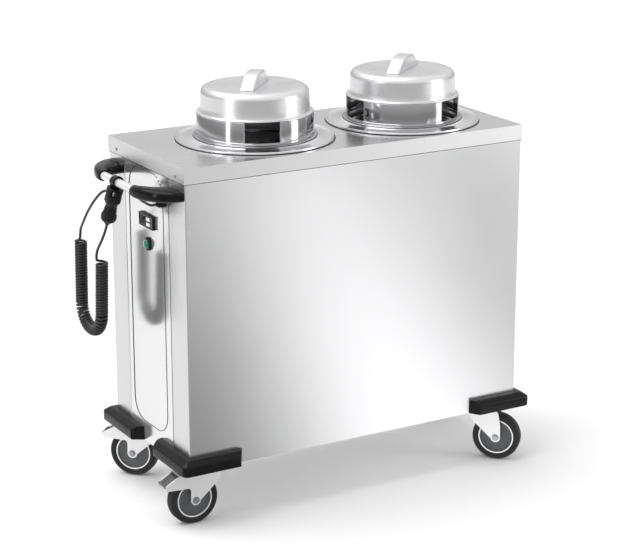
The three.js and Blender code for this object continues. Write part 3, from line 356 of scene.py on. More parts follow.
def brushed(name, tone, roughness, grain, metallic=1.0, upright_roughness=None):
    """Sheet metal with a fine grain, faint handling marks and slow changes of tone."""
    material, nodes, links, shader = new_material(name)
    shader.inputs["Metallic"].default_value = metallic
    fine = noise(nodes, links, *METAL_FINE, grain)
    slow = noise(nodes, links, *METAL_SLOW)
    links.new(tinted(nodes, links, slow, scaled(tone, 0.965), tone), shader.inputs["Base Color"])
    rough = added(nodes, links, spread(nodes, links, fine, -0.02, 0.02),
                  spread(nodes, links, slow, roughness - 0.02, roughness + 0.025))
    if upright_roughness:
        # folded edges scatter more than the level face
        level = axes(nodes, links, nodes.new("ShaderNodeNewGeometry").outputs["True Normal"])["Z"]
        rough = added(nodes, links, rough,
                      spread(nodes, links, level, upright_roughness - roughness, 0, 0.2, 0.8))
    links.new(rough, shader.inputs["Roughness"])
    bumped(nodes, links, shader, fine, 0.1, METAL_RELIEF)
    return material


def spun(name, tone, roughness):
    """Turned metal: fine level rings and soft cloudy marks."""
    material, nodes, links, shader = new_material(name)
    shader.inputs["Metallic"].default_value = 1.0
    fine = noise(nodes, links, *SPUN_FINE, SPUN_GRAIN)
    cloud = noise(nodes, links, *SPUN_CLOUDS)
    links.new(tinted(nodes, links, cloud, scaled(tone, 0.95), tone), shader.inputs["Base Color"])
    rough = added(nodes, links, spread(nodes, links, fine, -0.04, 0.04),
                  spread(nodes, links, cloud, roughness - 0.03, roughness + 0.04))
    links.new(rough, shader.inputs["Roughness"])
    bumped(nodes, links, shader, fine, 0.2, METAL_RELIEF)
    return material


def moulded(name, tone, roughness, grain=900, shine=0.5):
    """Plastic or rubber with a fine moulded grain and slight rubbing."""
    material, nodes, links, shader = new_material(name)
    fine = noise(nodes, links, grain, MOULDED_DETAIL)
    slow = noise(nodes, links, *MOULDED_WEAR)
    shader.inputs["Specular IOR Level"].default_value = shine
    links.new(tinted(nodes, links, slow, tone, scaled(tone, 1.35, 0.002)), shader.inputs["Base Color"])
    links.new(spread(nodes, links, slow, roughness - 0.05, roughness + 0.06), shader.inputs["Roughness"])
    bumped(nodes, links, shader, fine, 0.3, MOULDED_RELIEF)
    return material


def lens_material():
    """Moulded green lens with fine rings inside and a painted highlight that turns it pale towards one
    side.
    """
    material, nodes, links, shader = new_material("lens_green")
    place = nodes.new("ShaderNodeTexCoord").outputs["Object"]
    rings = nodes.new("ShaderNodeTexWave")
    rings.wave_type = "RINGS"
    rings.inputs["Scale"].default_value = 160
    links.new(place, rings.inputs["Vector"])
    middle = world(0, SWITCH_Y, 0).y
    # painted highlight: the base colour turns pale mint across the lens
    painted_highlight = spread(nodes, links, axes(nodes, links, place)["Y"], 0, 1, middle - 0.003, middle + 0.008)
    deep = tinted(nodes, links, rings.outputs["Fac"], (0.003, 0.13, 0.07), (0.006, 0.2, 0.11))
    links.new(mixed(nodes, links, painted_highlight, deep, (0.75, 0.95, 0.86)), shader.inputs["Base Color"])
    shader.inputs["Roughness"].default_value = 0.14
    shader.inputs["Coat Weight"].default_value = 0.8
    shader.inputs["Coat Roughness"].default_value = 0.04
    return material


SATIN = brushed("satin_steel", (0.72, 0.72, 0.73), 0.24, UPRIGHT_GRAIN)
END_STEEL = brushed("end_steel", (0.84, 0.84, 0.845), 0.15, UPRIGHT_GRAIN, metallic=0.85)
DECK_STEEL = brushed("deck_steel", (0.78, 0.78, 0.785), 0.25, LONG_GRAIN, upright_roughness=0.42)
POLISHED = brushed("polished_steel", (0.8, 0.8, 0.81), 0.12, LEVEL_GRAIN)
FLANGE = brushed("flange_steel", (0.84, 0.84, 0.85), 0.2, LEVEL_GRAIN)
COLLAR = brushed("collar_steel", (0.44, 0.44, 0.45), 0.12, LEVEL_GRAIN)
BRIGHT = brushed("bright_steel", (0.95, 0.95, 0.955), 0.3, LEVEL_GRAIN, metallic=0.6)
PLAIN = brushed("plain_steel", (0.42, 0.42, 0.43), 0.42, LEVEL_GRAIN)
PEDAL = brushed("pedal_steel", (0.2, 0.2, 0.205), 0.3, NO_GRAIN)
LID = spun("lid_aluminium", (0.84, 0.84, 0.85), 0.32)
ZINC = brushed("zinc_plate", (0.9, 0.9, 0.905), 0.42, NO_GRAIN, metallic=0.55)
# painted shade: the near black laid in gaps, round the pressed fields and under rims where their shadow
# falls
PAINTED_SHADE = moulded("painted_seam_shade", (0.03, 0.03, 0.031), 0.6, shine=0.1)
MOULDING = moulded("black_moulding", (0.0055, 0.0055, 0.006), 0.22, shine=0.17)
GLOSSY = moulded("handle_moulding", (0.004, 0.004, 0.0045), 0.1, shine=0.17)
TYRE = moulded("tyre_rubber", (0.016, 0.016, 0.017), 0.6, 500, shine=0.25)
DISC = moulded("wheel_grey", (0.075, 0.077, 0.08), 0.36, 500, shine=0.4)
CORD = moulded("cord_black", (0.012, 0.012, 0.0125), 0.32, 1200, shine=0.55)
PLUG = moulded("plug_rubber", (0.007, 0.007, 0.0075), 0.26, 800, shine=0.26)
KEY = moulded("key_white", (0.86, 0.86, 0.85), 0.32)
FACE = moulded("controller_face", (0.05, 0.052, 0.054), 0.3, shine=0.4)
LENS = lens_material()


# ---------------------------------------------------------------- shapes
def lathe(profile, segments=ROUND, start=0.0, sweep=360.0):
    """A section of [radius, z] pairs turned about Z, all the way round or through part of a turn."""
    full = sweep >= 360
    rings = segments if full else segments + 1
    vertices = []
    for i in range(rings):
        a = radians(start + sweep * i / segments)
        vertices += [(r * cos(a), r * sin(a), z) for r, z in profile]
    count = len(profile)
    faces = []
    for i in range(segments):
        here, there = i * count, ((i + 1) % rings) * count
        for k in range(count):
            n = (k + 1) % count
            faces.append((here + k, there + k, there + n, here + n))
    if not full:
        faces.append(tuple(range(count)))
        faces.append(tuple(range((rings - 1) * count, rings * count))[::-1])
    return vertices, faces


def rod(radius, low, high, edge=0.6):
    """The section of a round bar with broken edges."""
    return [(0, low), (radius - edge, low), (radius, low + edge), (radius, high - edge),
            (radius - edge, high), (0, high)]


def prism(outline, low, high):
    """An outline in X and Y raised from low to high."""
    count = len(outline)
    vertices = [(x, y, low) for x, y in outline] + [(x, y, high) for x, y in outline]
    faces = [tuple(range(count))[::-1], tuple(range(count, 2 * count))]
    faces += [(k, (k + 1) % count, count + (k + 1) % count, count + k) for k in range(count)]
    return vertices, faces


def block(x0, x1, y0, y1, z0, z1):
    return prism([(x0, y0), (x1, y0), (x1, y1), (x0, y1)], z0, z1)


def loft(rings, capped=True):
    """A skin over rings of points, closed at both ends if it is capped."""
    count = len(rings[0])
    vertices = [tuple(p) for ring in rings for p in ring]
    faces = []
    for i in range(len(rings) - 1):
        for k in range(count):
            n = (k + 1) % count
            faces.append((i * count + k, i * count + n, (i + 1) * count + n, (i + 1) * count + k))
    if capped:
        faces.append(tuple(range(count))[::-1])
        faces.append(tuple(range((len(rings) - 1) * count, len(rings) * count)))
    return vertices, faces


def moved(shape, matrix):
    vertices, faces = shape
    return [tuple(matrix @ Vector(v)) for v in vertices], faces


def at(x, y, z, turn=0.0):
    return Matrix.Translation((x, y, z)) @ Matrix.Rotation(radians(turn), 4, "Z")


def together(*shapes):
    vertices, faces = [], []
    for some_vertices, some_faces in shapes:
        base = len(vertices)
        vertices += some_vertices
        faces += [tuple(base + k for k in face) for face in some_faces]
    return vertices, faces


def arc(cx, cy, radius, start, end, steps):
    turns = [radians(start + (end - start) * i / steps) for i in range(steps + 1)]
    return [(cx + radius * cos(a), cy + radius * sin(a)) for a in turns]


def along(direction, place):
    """Stands a shape that is drawn about Z along a direction, from a place."""
    turn = Vector((0, 0, 1)).rotation_difference(direction).to_matrix().to_4x4()
    return Matrix.Translation(place) @ turn


def piece(name, shape, material, body="root", stands_for=(), edge=0.0, crease=SHARP):
    """A mesh from a shape in the cabinet's millimetres, riding on a body."""
    vertices, faces = shape
    mesh = bpy.data.meshes.new(name)
    mesh.from_pydata([CABINET @ Vector(v) for v in vertices], [], faces)
    work = bmesh.new()
    work.from_mesh(mesh)
    bmesh.ops.remove_doubles(work, verts=work.verts, dist=1e-6)
    bmesh.ops.recalc_face_normals(work, faces=work.faces)
    work.to_mesh(mesh)
    work.free()
    mesh.shade_smooth()
    mesh.set_sharp_from_angle(angle=radians(crease))
    mesh.materials.append(material)
    item = bpy.data.objects.new(name, mesh)
    bpy.context.collection.objects.link(item)
    if edge:
        soften(item, edge)
    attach(item, body)
    if stands_for:
        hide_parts(*stands_for)
    return item


def soften(item, edge):
    bevel = item.modifiers.new("edges", "BEVEL")
    bevel.width = edge * MM
    bevel.segments = 3
    bevel.limit_method = "ANGLE"
    bevel.angle_limit = radians(SHARP)
    bevel.harden_normals = True


def dress(node, material, edge=0.0):
    """Gives a solid of the CAD its material and broken edges."""
    item = NODES[node]
    item.data.materials.clear()
    item.data.materials.append(material)
    if edge:
        soften(item, edge)


# ---------------------------------------------------------------- cord
CORD_DIAMETER = 6.4
COIL_RADIUS = (32 - CORD_DIAMETER) / 2
ARM_LEFT = {"x": -555, "top": 201, "bend": 207, "z": DECK - 256}
ARM_RIGHT = {"x": -551, "top": 87, "bend": 97, "z": DECK - 281}
BEND_Z = DECK - 413
CURL_PITCH = 7.1
BEND_PITCH = 8.6
PITCH_BLEND = 7
CURL_STEPS = 20
START_CURL = 48 / 360  # share of a curl at which the coil begins
END_CURL = 0.62  # and at which it leaves for the plug
RUNOUT_TURN = 0.3  # of a curl, over which the coil straightens at both ends
RUNOUT_RISE = 16
GLAND_LENGTH = 22
GLAND_Y = -100
GLAND_Z = DECK - 104
PLUG_LEAN = Vector((-12, 23, -84)).normalized()
PLUG_FACE = 33.3  # from the handle's axis
PLUG_LENGTH = 80
EYE = Vector((-534.6, 52.8, DECK - 95.7))
EYE_LEAN = Vector((-29.4, 39, -15)).normalized()
EYE_LENGTH = 8
SUPPLY_ROUTE = [  # X, Y, and Z from the deck
    (-513, -72, -99), (-516, -36, -91), (-515, -4, -87), (-516.5, 17, -86.5), (-522, 34, -88.5), "eye",
    (-550, 72, -103.5), (-557.5, 92, -122), (-561.5, 115, -145), (-563, 140, -171), (-563, 163, -197),
]
LEAD_PULL = (26, 52)  # how far the plug's lead keeps the direction of the coil and of the plug
LEAD_STEPS = 28
STRAIGHT_POINTS = 3
ROUTE_STEPS = 6


def coil_axis(s):
    """The place and direction of the coil's middle line, s along it: left arm, bend, right arm."""
    left_top = Vector((ARM_LEFT["x"], ARM_LEFT["top"], ARM_LEFT["z"]))
    left_foot = Vector((ARM_LEFT["x"], ARM_LEFT["bend"], BEND_Z))
    right_foot = Vector((ARM_RIGHT["x"], ARM_RIGHT["bend"], BEND_Z))
    right_top = Vector((ARM_RIGHT["x"], ARM_RIGHT["top"], ARM_RIGHT["z"]))
    down, up = left_foot - left_top, right_top - right_foot
    middle, half = (left_foot + right_foot) / 2, (left_foot - right_foot) / 2
    bend = pi * half.length
    if s < down.length:
        return left_top + down.normalized() * s, down.normalized()
    if s < down.length + bend:
        a = (s - down.length) / half.length
        drop = Vector((0, 0, -half.length))
        return middle + half * cos(a) + drop * sin(a), (-half * sin(a) + drop * cos(a)).normalized()
    past = s - down.length - bend
    return right_foot + up.normalized() * past, up.normalized()


def coil_lengths():
    """The lengths of the left arm, of the bend and of the whole coil."""
    left = math.hypot(ARM_LEFT["bend"] - ARM_LEFT["top"], ARM_LEFT["z"] - BEND_Z)
    bend = pi * math.hypot(ARM_LEFT["bend"] - ARM_RIGHT["bend"], ARM_LEFT["x"] - ARM_RIGHT["x"]) / 2
    right = math.hypot(ARM_RIGHT["bend"] - ARM_RIGHT["top"], ARM_RIGHT["z"] - BEND_Z)
    return left, bend, left + bend + right


def coil_point(s, turns):
    centre, tangent = coil_axis(s)
    across = Vector((-1, 0, 0))
    across = (across - tangent * across.dot(tangent)).normalized()
    beside = tangent.cross(across)
    a = 2 * pi * turns
    return centre + across * COIL_RADIUS * cos(a) + beside * COIL_RADIUS * sin(a)


def curl_points():
    """The curls, closer on the arms than in the bend, with a run-out at both ends."""
    left, bend, total = coil_lengths()

    def pitch(s):
        inside = min(s - left, left + bend - s)
        t = min(max((inside + PITCH_BLEND) / (2 * PITCH_BLEND), 0), 1)
        return CURL_PITCH + (BEND_PITCH - CURL_PITCH) * t * t * (3 - 2 * t)

    def run_out(s, turns, sense):
        wound = 2 * RUNOUT_TURN * CURL_PITCH
        steps = CURL_STEPS // 2
        for i in range(1, steps + 1):
            u = i / steps
            rise = wound * u + (RUNOUT_RISE - wound) * u * u
            yield coil_point(s + sense * rise, turns + sense * RUNOUT_TURN * (2 * u - u * u))

    s, turns = 0.0, START_CURL
    points = list(run_out(s, turns, -1))[::-1]
    while s <= total:
        points.append(coil_point(s, turns))
        s += pitch(s) / CURL_STEPS
        turns += 1 / CURL_STEPS
    s -= pitch(s) / CURL_STEPS
    turns -= 1 / CURL_STEPS
    while abs(turns % 1 - END_CURL) > 0.5 / CURL_STEPS:
        points.pop()
        s -= pitch(s) / CURL_STEPS
        turns -= 1 / CURL_STEPS
    return points + list(run_out(s, turns, 1))


def smooth_route(points):
    """A smooth line through chosen points: a centripetal spline."""
    line = []
    for i in range(len(points) - 1):
        p0, p1 = points[max(i - 1, 0)], points[i]
        p2, p3 = points[i + 1], points[min(i + 2, len(points) - 1)]
        knots = [0.0]
        for a, b in ((p0, p1), (p1, p2), (p2, p3)):
            knots.append(knots[-1] + max((b - a).length, 1e-3) ** 0.5)
        t0, t1, t2, t3 = knots
        for k in range(ROUTE_STEPS):
            t = t1 + (t2 - t1) * k / ROUTE_STEPS
            a1 = p0 * ((t1 - t) / (t1 - t0)) + p1 * ((t - t0) / (t1 - t0))
            a2 = p1 * ((t2 - t) / (t2 - t1)) + p2 * ((t - t1) / (t2 - t1))
            a3 = p2 * ((t3 - t) / (t3 - t2)) + p3 * ((t - t2) / (t3 - t2))
            b1 = a1 * ((t2 - t) / (t2 - t0)) + a2 * ((t - t0) / (t2 - t0))
            b2 = a2 * ((t3 - t) / (t3 - t1)) + a3 * ((t - t1) / (t3 - t1))
            line.append(b1 * ((t2 - t) / (t2 - t1)) + b2 * ((t - t1) / (t2 - t1)))
    return line + [points[-1]]


def bezier(a, b, c, d, t):
    s = 1 - t
    return tuple(s ** 3 * p + 3 * s * s * t * q + 3 * s * t * t * r + t ** 3 * e
                 for p, q, r, e in zip(a, b, c, d))


def straight_out(start, direction):
    return [start + direction * (n * CORD_DIAMETER) for n in range(STRAIGHT_POINTS)]


def cord_line():
    """The whole cord: from the gland through the holder's eye, round the coil, to the plug's end."""
    curls = curl_points()
    start_out = (curls[0] - curls[1]).normalized()
    end_out = (curls[-1] - curls[-2]).normalized()
    gland = Vector((END_FACE - 2 * SEAT - GLAND_LENGTH, GLAND_Y, GLAND_Z))
    supply = straight_out(gland, OUTWARDS)
    for spot in SUPPLY_ROUTE:
        if spot == "eye":
            supply += [EYE - EYE_LEAN * EYE_LENGTH, EYE + EYE_LEAN * EYE_LENGTH]
        else:
            supply.append(Vector((spot[0], spot[1], DECK + spot[2])))
    supply += straight_out(curls[0] + start_out * CORD_DIAMETER, start_out)[::-1]
    plug_end = HOOK + PLUG_LEAN * (PLUG_FACE + PLUG_LENGTH)
    near, far = LEAD_PULL
    bend = (curls[-1], curls[-1] + end_out * near, plug_end + PLUG_LEAN * far, plug_end)
    lead = [Vector(bezier(*bend, i / LEAD_STEPS)) for i in range(1, LEAD_STEPS + 1)]
    return smooth_route(supply) + curls + lead


def make_cord():
    line = [CABINET @ p for p in cord_line()]
    curve = bpy.data.curves.new("mains_cord", "CURVE")
    curve.dimensions = "3D"
    curve.bevel_depth = CORD_DIAMETER / 2 * MM
    curve.bevel_resolution = 3
    curve.use_fill_caps = True
    spline = curve.splines.new("POLY")
    spline.points.add(len(line) - 1)
    for point, place in zip(spline.points, line):
        point.co = (*place, 1)
    spline.use_smooth = True
    curve.materials.append(CORD)
    item = bpy.data.objects.new("mains_cord", curve)
    bpy.context.collection.objects.link(item)
    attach(item, "root")
    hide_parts("curly_cord", "supply_lead", "plug_lead")


def ribbed(profile, ribs, depth, low, high, segments=ROUND):
    """A turned shape with ribs along its length between two heights."""
    vertices, faces = lathe(profile, segments)
    core = 5  # radius of what stays plain
    shaped = []
    for x, y, z in vertices:
        share = 1.0
        if low <= z <= high and math.hypot(x, y) > core:
            share -= depth * (0.5 - 0.5 * cos(ribs * math.atan2(y, x)))
        shaped.append((x * share, y * share, z))
    return shaped, faces


def make_plug():
    stand = along(PLUG_LEAN, HOOK)
    face = PLUG_FACE
    section = [
        (0, 0), (17.5, 0), (19.3, 1.2), (19.5, 3), (19.5, 15), (18.6, 18), (16, 23), (14.4, 27), (13.8, 31),
        (14.2, 36), (15.2, 42), (16.2, 47), (17.6, 50), (18.8, 53), (19.2, 56), (19.2, 61), (18.4, 65),
        (15.8, 69), (12, 72), (8.6, 74.4), (6.8, 77), (5, PLUG_LENGTH), (0, PLUG_LENGTH),
    ]
    head = ribbed([(r, face + z) for r, z in section], 16, 0.06, face + 50, face + 66)
    ribs = [lathe([(6, z - 1), (r, z - 1), (r + 0.6, z), (r, z + 1), (6, z + 1)], 48)
            for z, r in ((face + 33, 14.4), (face + 38, 15), (face + 43, 15.8))]
    waist = [moved(block(13, 19.6, -4.5, 4.5, face + 4, face + 18), at(0, 0, 0, turn))
             for turn in (90, 270)]
    pins = [moved(lathe(rod(2.4, face - 14.5, face + 2, 1.0), 24), at(x, 0, 0)) for x in (-9.5, 9.5)]
    body = piece("plug_body", moved(together(head, *ribs, *waist), stand), PLUG,
                 stands_for=("plug",))
    metal = piece("plug_pins", moved(together(*pins), stand), ZINC)
    return [body, metal]


def make_holder():
    """A ring round the handle, an open cup for the plug, and an arm with the eye that leads the cord."""
    ring = moved(lathe([(10.3, -9.5), (10.8, -10), (14.4, -10), (15, -9.2), (15, 9.2), (14.4, 10),
                        (10.8, 10), (10.3, 9.5)], SMALL_ROUND), along(ACROSS, HOOK))
    bowl = lathe([(0, 13.2), (11, 13.2), (16.5, 14.6), (19.6, 16.4), (20.4, 18.4), (19, 18.6), (0, 18.6)],
                 SMALL_ROUND)
    prong = [(16.8, 18.2), (20.4, 18.2), (20.5, 31), (19.9, 33), (17.4, 33), (16.8, 31)]
    prongs = [lathe(prong, 14, turn, 54) for turn in (18, 108, 198, 288)]
    cup = moved(together(bowl, *prongs), along(PLUG_LEAN, HOOK))
    arm_start, arm_end = Vector((-540.5, 48.5, DECK - 93)), Vector((-543.5, 25, DECK - 84))
    run = arm_end - arm_start
    arm = moved(lathe(rod(3, 0, run.length), 24), along(run.normalized(), arm_start))
    eye = moved(lathe([(4, -3.4), (4.6, -4), (6, -4), (6.5, -3.4), (6.5, 3.4), (6, 4), (4.6, 4),
                       (4, 3.4)], 32), along(EYE_LEAN, EYE))
    piece("holder", together(ring, cup, arm, eye), MOULDING,
          stands_for=("plug_holder",))
    screw = moved(lathe(rod(3, 14.6, 16.4), 24), along(Vector((0.3, 0, 1)).normalized(), HOOK))
    piece("holder_screw", screw, ZINC)


def make_gland():
    out = along(OUTWARDS, Vector((END_FACE - SEAT, GLAND_Y, GLAND_Z)))
    nut = lathe([(0, 0), (10.4, 0), (11, 0.6), (11, 7), (10.4, 7.7), (0, 7.7)], 6)
    dome = ribbed([(0, 7.5), (8.8, 7.5), (8.8, 16), (8.2, 17.2), (6.4, 18.6), (5.4, 20.4),
                   (4.9, GLAND_LENGTH), (0, GLAND_LENGTH)], 14, 0.08, 8, 16, 84)
    piece("gland", moved(together(nut, dome), out), MOULDING,
          stands_for=("cord_gland",))


# ---------------------------------------------------------------- cabinet
def ring_band(outer, inner, low, high):
    """A band between two outlines with the same number of points, raised from low to high."""
    edges = ((outer, low), (outer, high), (inner, high), (inner, low))
    rings = [[(x, y, z) for x, y in line] for line, z in edges]
    return loft(rings + [rings[0]], capped=False)


def rounded(half, low, high, radius):
    """An upright outline with rounded corners, as wide as two halves."""
    corners = ((half - radius, low + radius, -90), (half - radius, high - radius, 0),
               (radius - half, high - radius, 90), (radius - half, low + radius, 180))
    return [p for cx, cy, start in corners for p in arc(cx, cy, radius, start, start + 90, 10)]


def make_painted_shade_strips():
    """Painted shade in dark strips: under the lip, in the gaps beside the end panels and round their
    pressed fields.
    """
    x, y = HALF_LENGTH, HALF_WIDTH

    def square(grow):
        return [(-x - grow, -y - grow), (x + grow, -y - grow), (x + grow, y + grow), (-x - grow, y + grow)]

    # painted shadow under the lip
    parts = [ring_band(square(1.2), square(-0.2), LIP_FOOT - 1.3, LIP_FOOT)]
    field_outside = [(p + FIELD_SHADE_SHIFT, q) for p, q in rounded(*FIELD_SHADE_OUTSIDE)]
    field_inside = rounded(*FIELD_SHADE_INSIDE)
    upright = Matrix(((0, 0, 1, 0), (1, 0, 0, 0), (0, 1, 0, 0), (0, 0, 0, 1)))
    for end in (-1, 1):
        for side in (-1, 1):
            near, far = sorted((end * (x - 0.6), end * (x - 1.4)))
            low, high = sorted(side * y_edge for y_edge in PANEL_SEAM)
            # painted shade in the gap beside the end panel
            parts.append(block(near, far, low, high, BODY_BOTTOM + 2, LIP_FOOT - 2))
        # painted shade round the pressed field
        near, far = sorted((end * (x + 0.1), end * (x + 1.1)))
        parts.append(moved(ring_band(field_outside, field_inside, near, far), upright))
    piece("painted_shade_strips", together(*parts), PAINTED_SHADE)


def make_cabinet():
    dress("deck_top", DECK_STEEL, 1.4)
    for node in ("front_panel", "back_panel"):
        dress(node, SATIN)
    for node in ("left_end_panel", "right_end_panel"):
        dress(node, END_STEEL, 0.6)
    dress("base_pan", SATIN, 1.0)
    make_painted_shade_strips()
    # screws in the lip at both ends, with a low domed head
    dome = lathe([(0, 0), (4.6, 0), (4.6, 0.5), (3.9, 1.5), (2.4, 2.1), (0, 2.3)], 32)
    heads = [moved(dome, along(Vector((side, 0, 0)), Vector((side * 471, y, DECK - 25))))
             for side in (-1, 1) for y in (-160, 160)]
    piece("lip_screws", together(*heads), PLAIN)


# ---------------------------------------------------------------- wells and lids
def make_flange(side):
    section = [
        (NECK, -26), (NECK + 1.5, -26), (NECK + 1.5, 5.5), (155, 5.5), (158.2, 4.2), (180, 0.6), (188, 0.3),
        (191.4, 0.3), (193.2, 1.1), (194, 2.6), (194, 4.0), (193.2, 5.6), (191.4, 6.4), (189.4, 6.0),
        (187.9, 4.6), (186.4, 3.2), (184, 2.9), (176, 3.6), (162, 5.4), (158.5, 6.4), (156, 7.8),
        (153.5, 8.5), (NECK, 8.5),
    ]
    spot = at(WELLS[side], 0, 0)
    piece(f"{side}_flange", moved(lathe([(r, DECK + z) for r, z in section]), spot), FLANGE,
          stands_for=(f"{side}_well_flange",))
    # painted shadow under its rolled edge and under the collar's foot
    shade = [lathe([(r - 4, z), (r, z), (r, z + 0.25), (r - 4, z + 0.25)])
             for r, z in ((195.4, DECK + 0.05), (151.8, DECK + 8.52))]
    piece(f"{side}_flange_painted_shadows", moved(together(*shade), spot), PAINTED_SHADE)


def make_collar(side):
    """Three polished guides on a foot, each with a round seam at both ends and a round rim."""
    base = DECK + 8.8
    top = GUIDE_TOP
    inside, outside = GUIDE_INSIDE, GUIDE_OUTSIDE
    foot = [(inside, 0), (150, 0), (151, 0.8), (151, 2), (149.6, 3), (146, 3.2), (144.4, 3.8), (143.8, 5.2),
            (143.6, 6.6), (142.6, 7.6), (141.2, 7.4), (inside, 6.4)]
    wall = [(inside, base + 5), (outside, base + 5), (outside, top - 0.8), (142, top), (141, top),
            (inside, top - 0.8)]
    rim = arc(141.5, top - 1.3, 1.3, 0, 324, 9)
    seam = lathe(rod(1.7, base + 6, top - 0.2, 0.8), 20)
    parts = [lathe([(r, base + z) for r, z in foot])]
    for turn in (60, 180, 300):
        middle = WINDOW_TURN[side] + turn
        parts.append(lathe(wall, 48, middle - GUIDE_SPAN / 2, GUIDE_SPAN))
        for edge_turn in (-42.2, 42.2):
            a = radians(middle + edge_turn)
            parts.append(moved(seam, at(141.6 * cos(a), 141.6 * sin(a), 0)))
        parts.append(lathe(rim, 48, middle - GUIDE_SPAN / 2, GUIDE_SPAN))
    piece(f"{side}_collar", moved(together(*parts), at(WELLS[side], 0, 0)), COLLAR,
          stands_for=(f"{side}_guide_collar",))


def make_platform(side):
    section = [(0, -9), (133, -9), (136, -8.4), (137, -7.4), (136.4, -6.4), (134, -6), (120, -6), (116, -7),
               (0, -7)]
    plate = lathe([(r, DECK + z) for r, z in section])
    carrier = DECK - 196
    post = lathe(rod(12, carrier, DECK - 8), 32)
    arms = block(-167, 167, -6, 6, carrier, carrier + 6)
    piece(f"{side}_plate_platform", moved(together(plate, post, arms), at(WELLS[side], 0, 0)), POLISHED,
          body=f"{side}_platform", stands_for=(f"{side}_platform",))


def make_well(side):
    make_flange(side)
    make_collar(side)
    make_platform(side)
    for hidden in ("well_tube", "spring_1", "spring_2", "heater"):
        dress(f"{side}_{hidden}", PLAIN)


def make_lid(side):
    low = GUIDE_TOP + SEAT
    top = low + 64
    brow = 114  # radius at which the top turns down
    dome = [
        (131, low), (140.8, low), (141.8, low + 0.4), (142, low + 1.2), (141.6, low + 2.2),
        (138, low + 2.9), (134.4, low + 3.8), (133.4, low + 6), (132.8, low + 18), (131.8, low + 34),
        *arc(brow, top - 17.4, 17.4, 0, 84, 14), (104, top - 0.2), (90, top - 0.1), (0, top),
        (0, top - 2), (brow, top - 2.4), *arc(brow, top - 17.4, 15.4, 84, 0, 8), (131, low + 10),
    ]
    piece(f"{side}_lid_dome", moved(lathe(dome, 160), at(WELLS[side], 0, 0)), LID, body=f"{side}_lid",
          stands_for=(f"{side}_lid",), crease=40)
    make_grip(side, top + SEAT)


def make_grip(side, base):
    """A strap pressed from sheet, level along its crest, with rounded edges."""
    half_length, half_crest, rise, steps = 84, 28, 34, 20
    foot, fillet, widest = 1.2, 5, 18
    rings = []
    for i in range(2 * steps + 1):
        x = half_length * (-1 + i / steps)
        t = min(max((half_length - abs(x)) / (half_length - half_crest), 0), 1)
        height = foot + (rise - foot) * (1 - (1 - t) ** 1.25)
        height -= 1.6 * max(0, 1 - abs(abs(x) - half_crest) / 12)  # softens the ends of the crest
        width = widest - 1.5 * (1 - t)
        edge = min(fillet, height * 0.6)
        ring = [(x, -width, 0), (x, -width, height - edge)]
        ring += [(x, -width + 4.5 * (1 - cos(radians(a))), height - edge * (1 - sin(radians(a))))
                 for a in (22, 45, 68, 90)]
        rings.append(ring + [(px, -py, pz) for px, py, pz in ring[::-1]])
    piece(f"{side}_grip", moved(loft(rings), at(WELLS[side], 0, base, GRIP_TURN[side])), LID,
          body=f"{side}_lid", stands_for=(f"{side}_lid_grip",), crease=50)


# ---------------------------------------------------------------- handle
def signed_power(value, power):
    return math.copysign(abs(value) ** power, value)


def make_elbow(side, sign):
    """An end moulding: from the tube it sweeps to the end panel and widens into a flat, square foot."""
    steps, facets = 28, 28
    rings = []
    for i in range(steps + 1):
        t = i / steps
        outer = bezier((-13.5, 88), (-13.5, 138), (25, 203), (70, 203), t)
        inner = bezier((13.5, 88), (13.5, 112), (44, 122), (70, 122), t)
        middle = [(outer[k] + inner[k]) / 2 for k in (0, 1)]
        half = [(outer[k] - inner[k]) / 2 for k in (0, 1)]
        height = 13.5 + 2.5 * min(1, 4 * t)
        if i == 0:
            height, half = 12.6, [h * 0.93 for h in half]
        ring = []
        for k in range(facets):
            a = 2 * pi * k / facets
            c, s = signed_power(cos(a), 0.75), signed_power(sin(a), 0.75)
            ring.append((middle[0] + half[0] * c, sign * (middle[1] + half[1] * c), height * s))
        rings.append(ring)
    elbow = moved(loft(rings), Matrix.Translation(HANDLE))
    collar = moved(lathe([(10.2, 84.6), (13.2, 84.6), (13.8, 85.4), (13.8, 89), (10.2, 89)], SMALL_ROUND),
                   along(sign * ACROSS, HANDLE))
    piece(f"{side}_elbow", together(elbow, collar), GLOSSY,
          stands_for=(f"{side}_handle_elbow",), crease=60)


def make_handle():
    bar = lathe(rod(10, -103, 103, 0.8), SMALL_ROUND)
    piece("handle_bar", moved(bar, along(ACROSS, HANDLE)), BRIGHT,
          stands_for=("handle_tube",))
    make_elbow("back", 1)
    make_elbow("front", -1)


# ---------------------------------------------------------------- controls
def face_out(y, z):
    """Shapes drawn with X up, Y along the cart's width and Z outwards, set on the pressed field."""
    tip = Matrix(((0, 0, -1, 0), (0, 1, 0, 0), (1, 0, 0, 0), (0, 0, 0, 1)))
    return Matrix.Translation((FIELD_FACE - SEAT, y, z)) @ tip


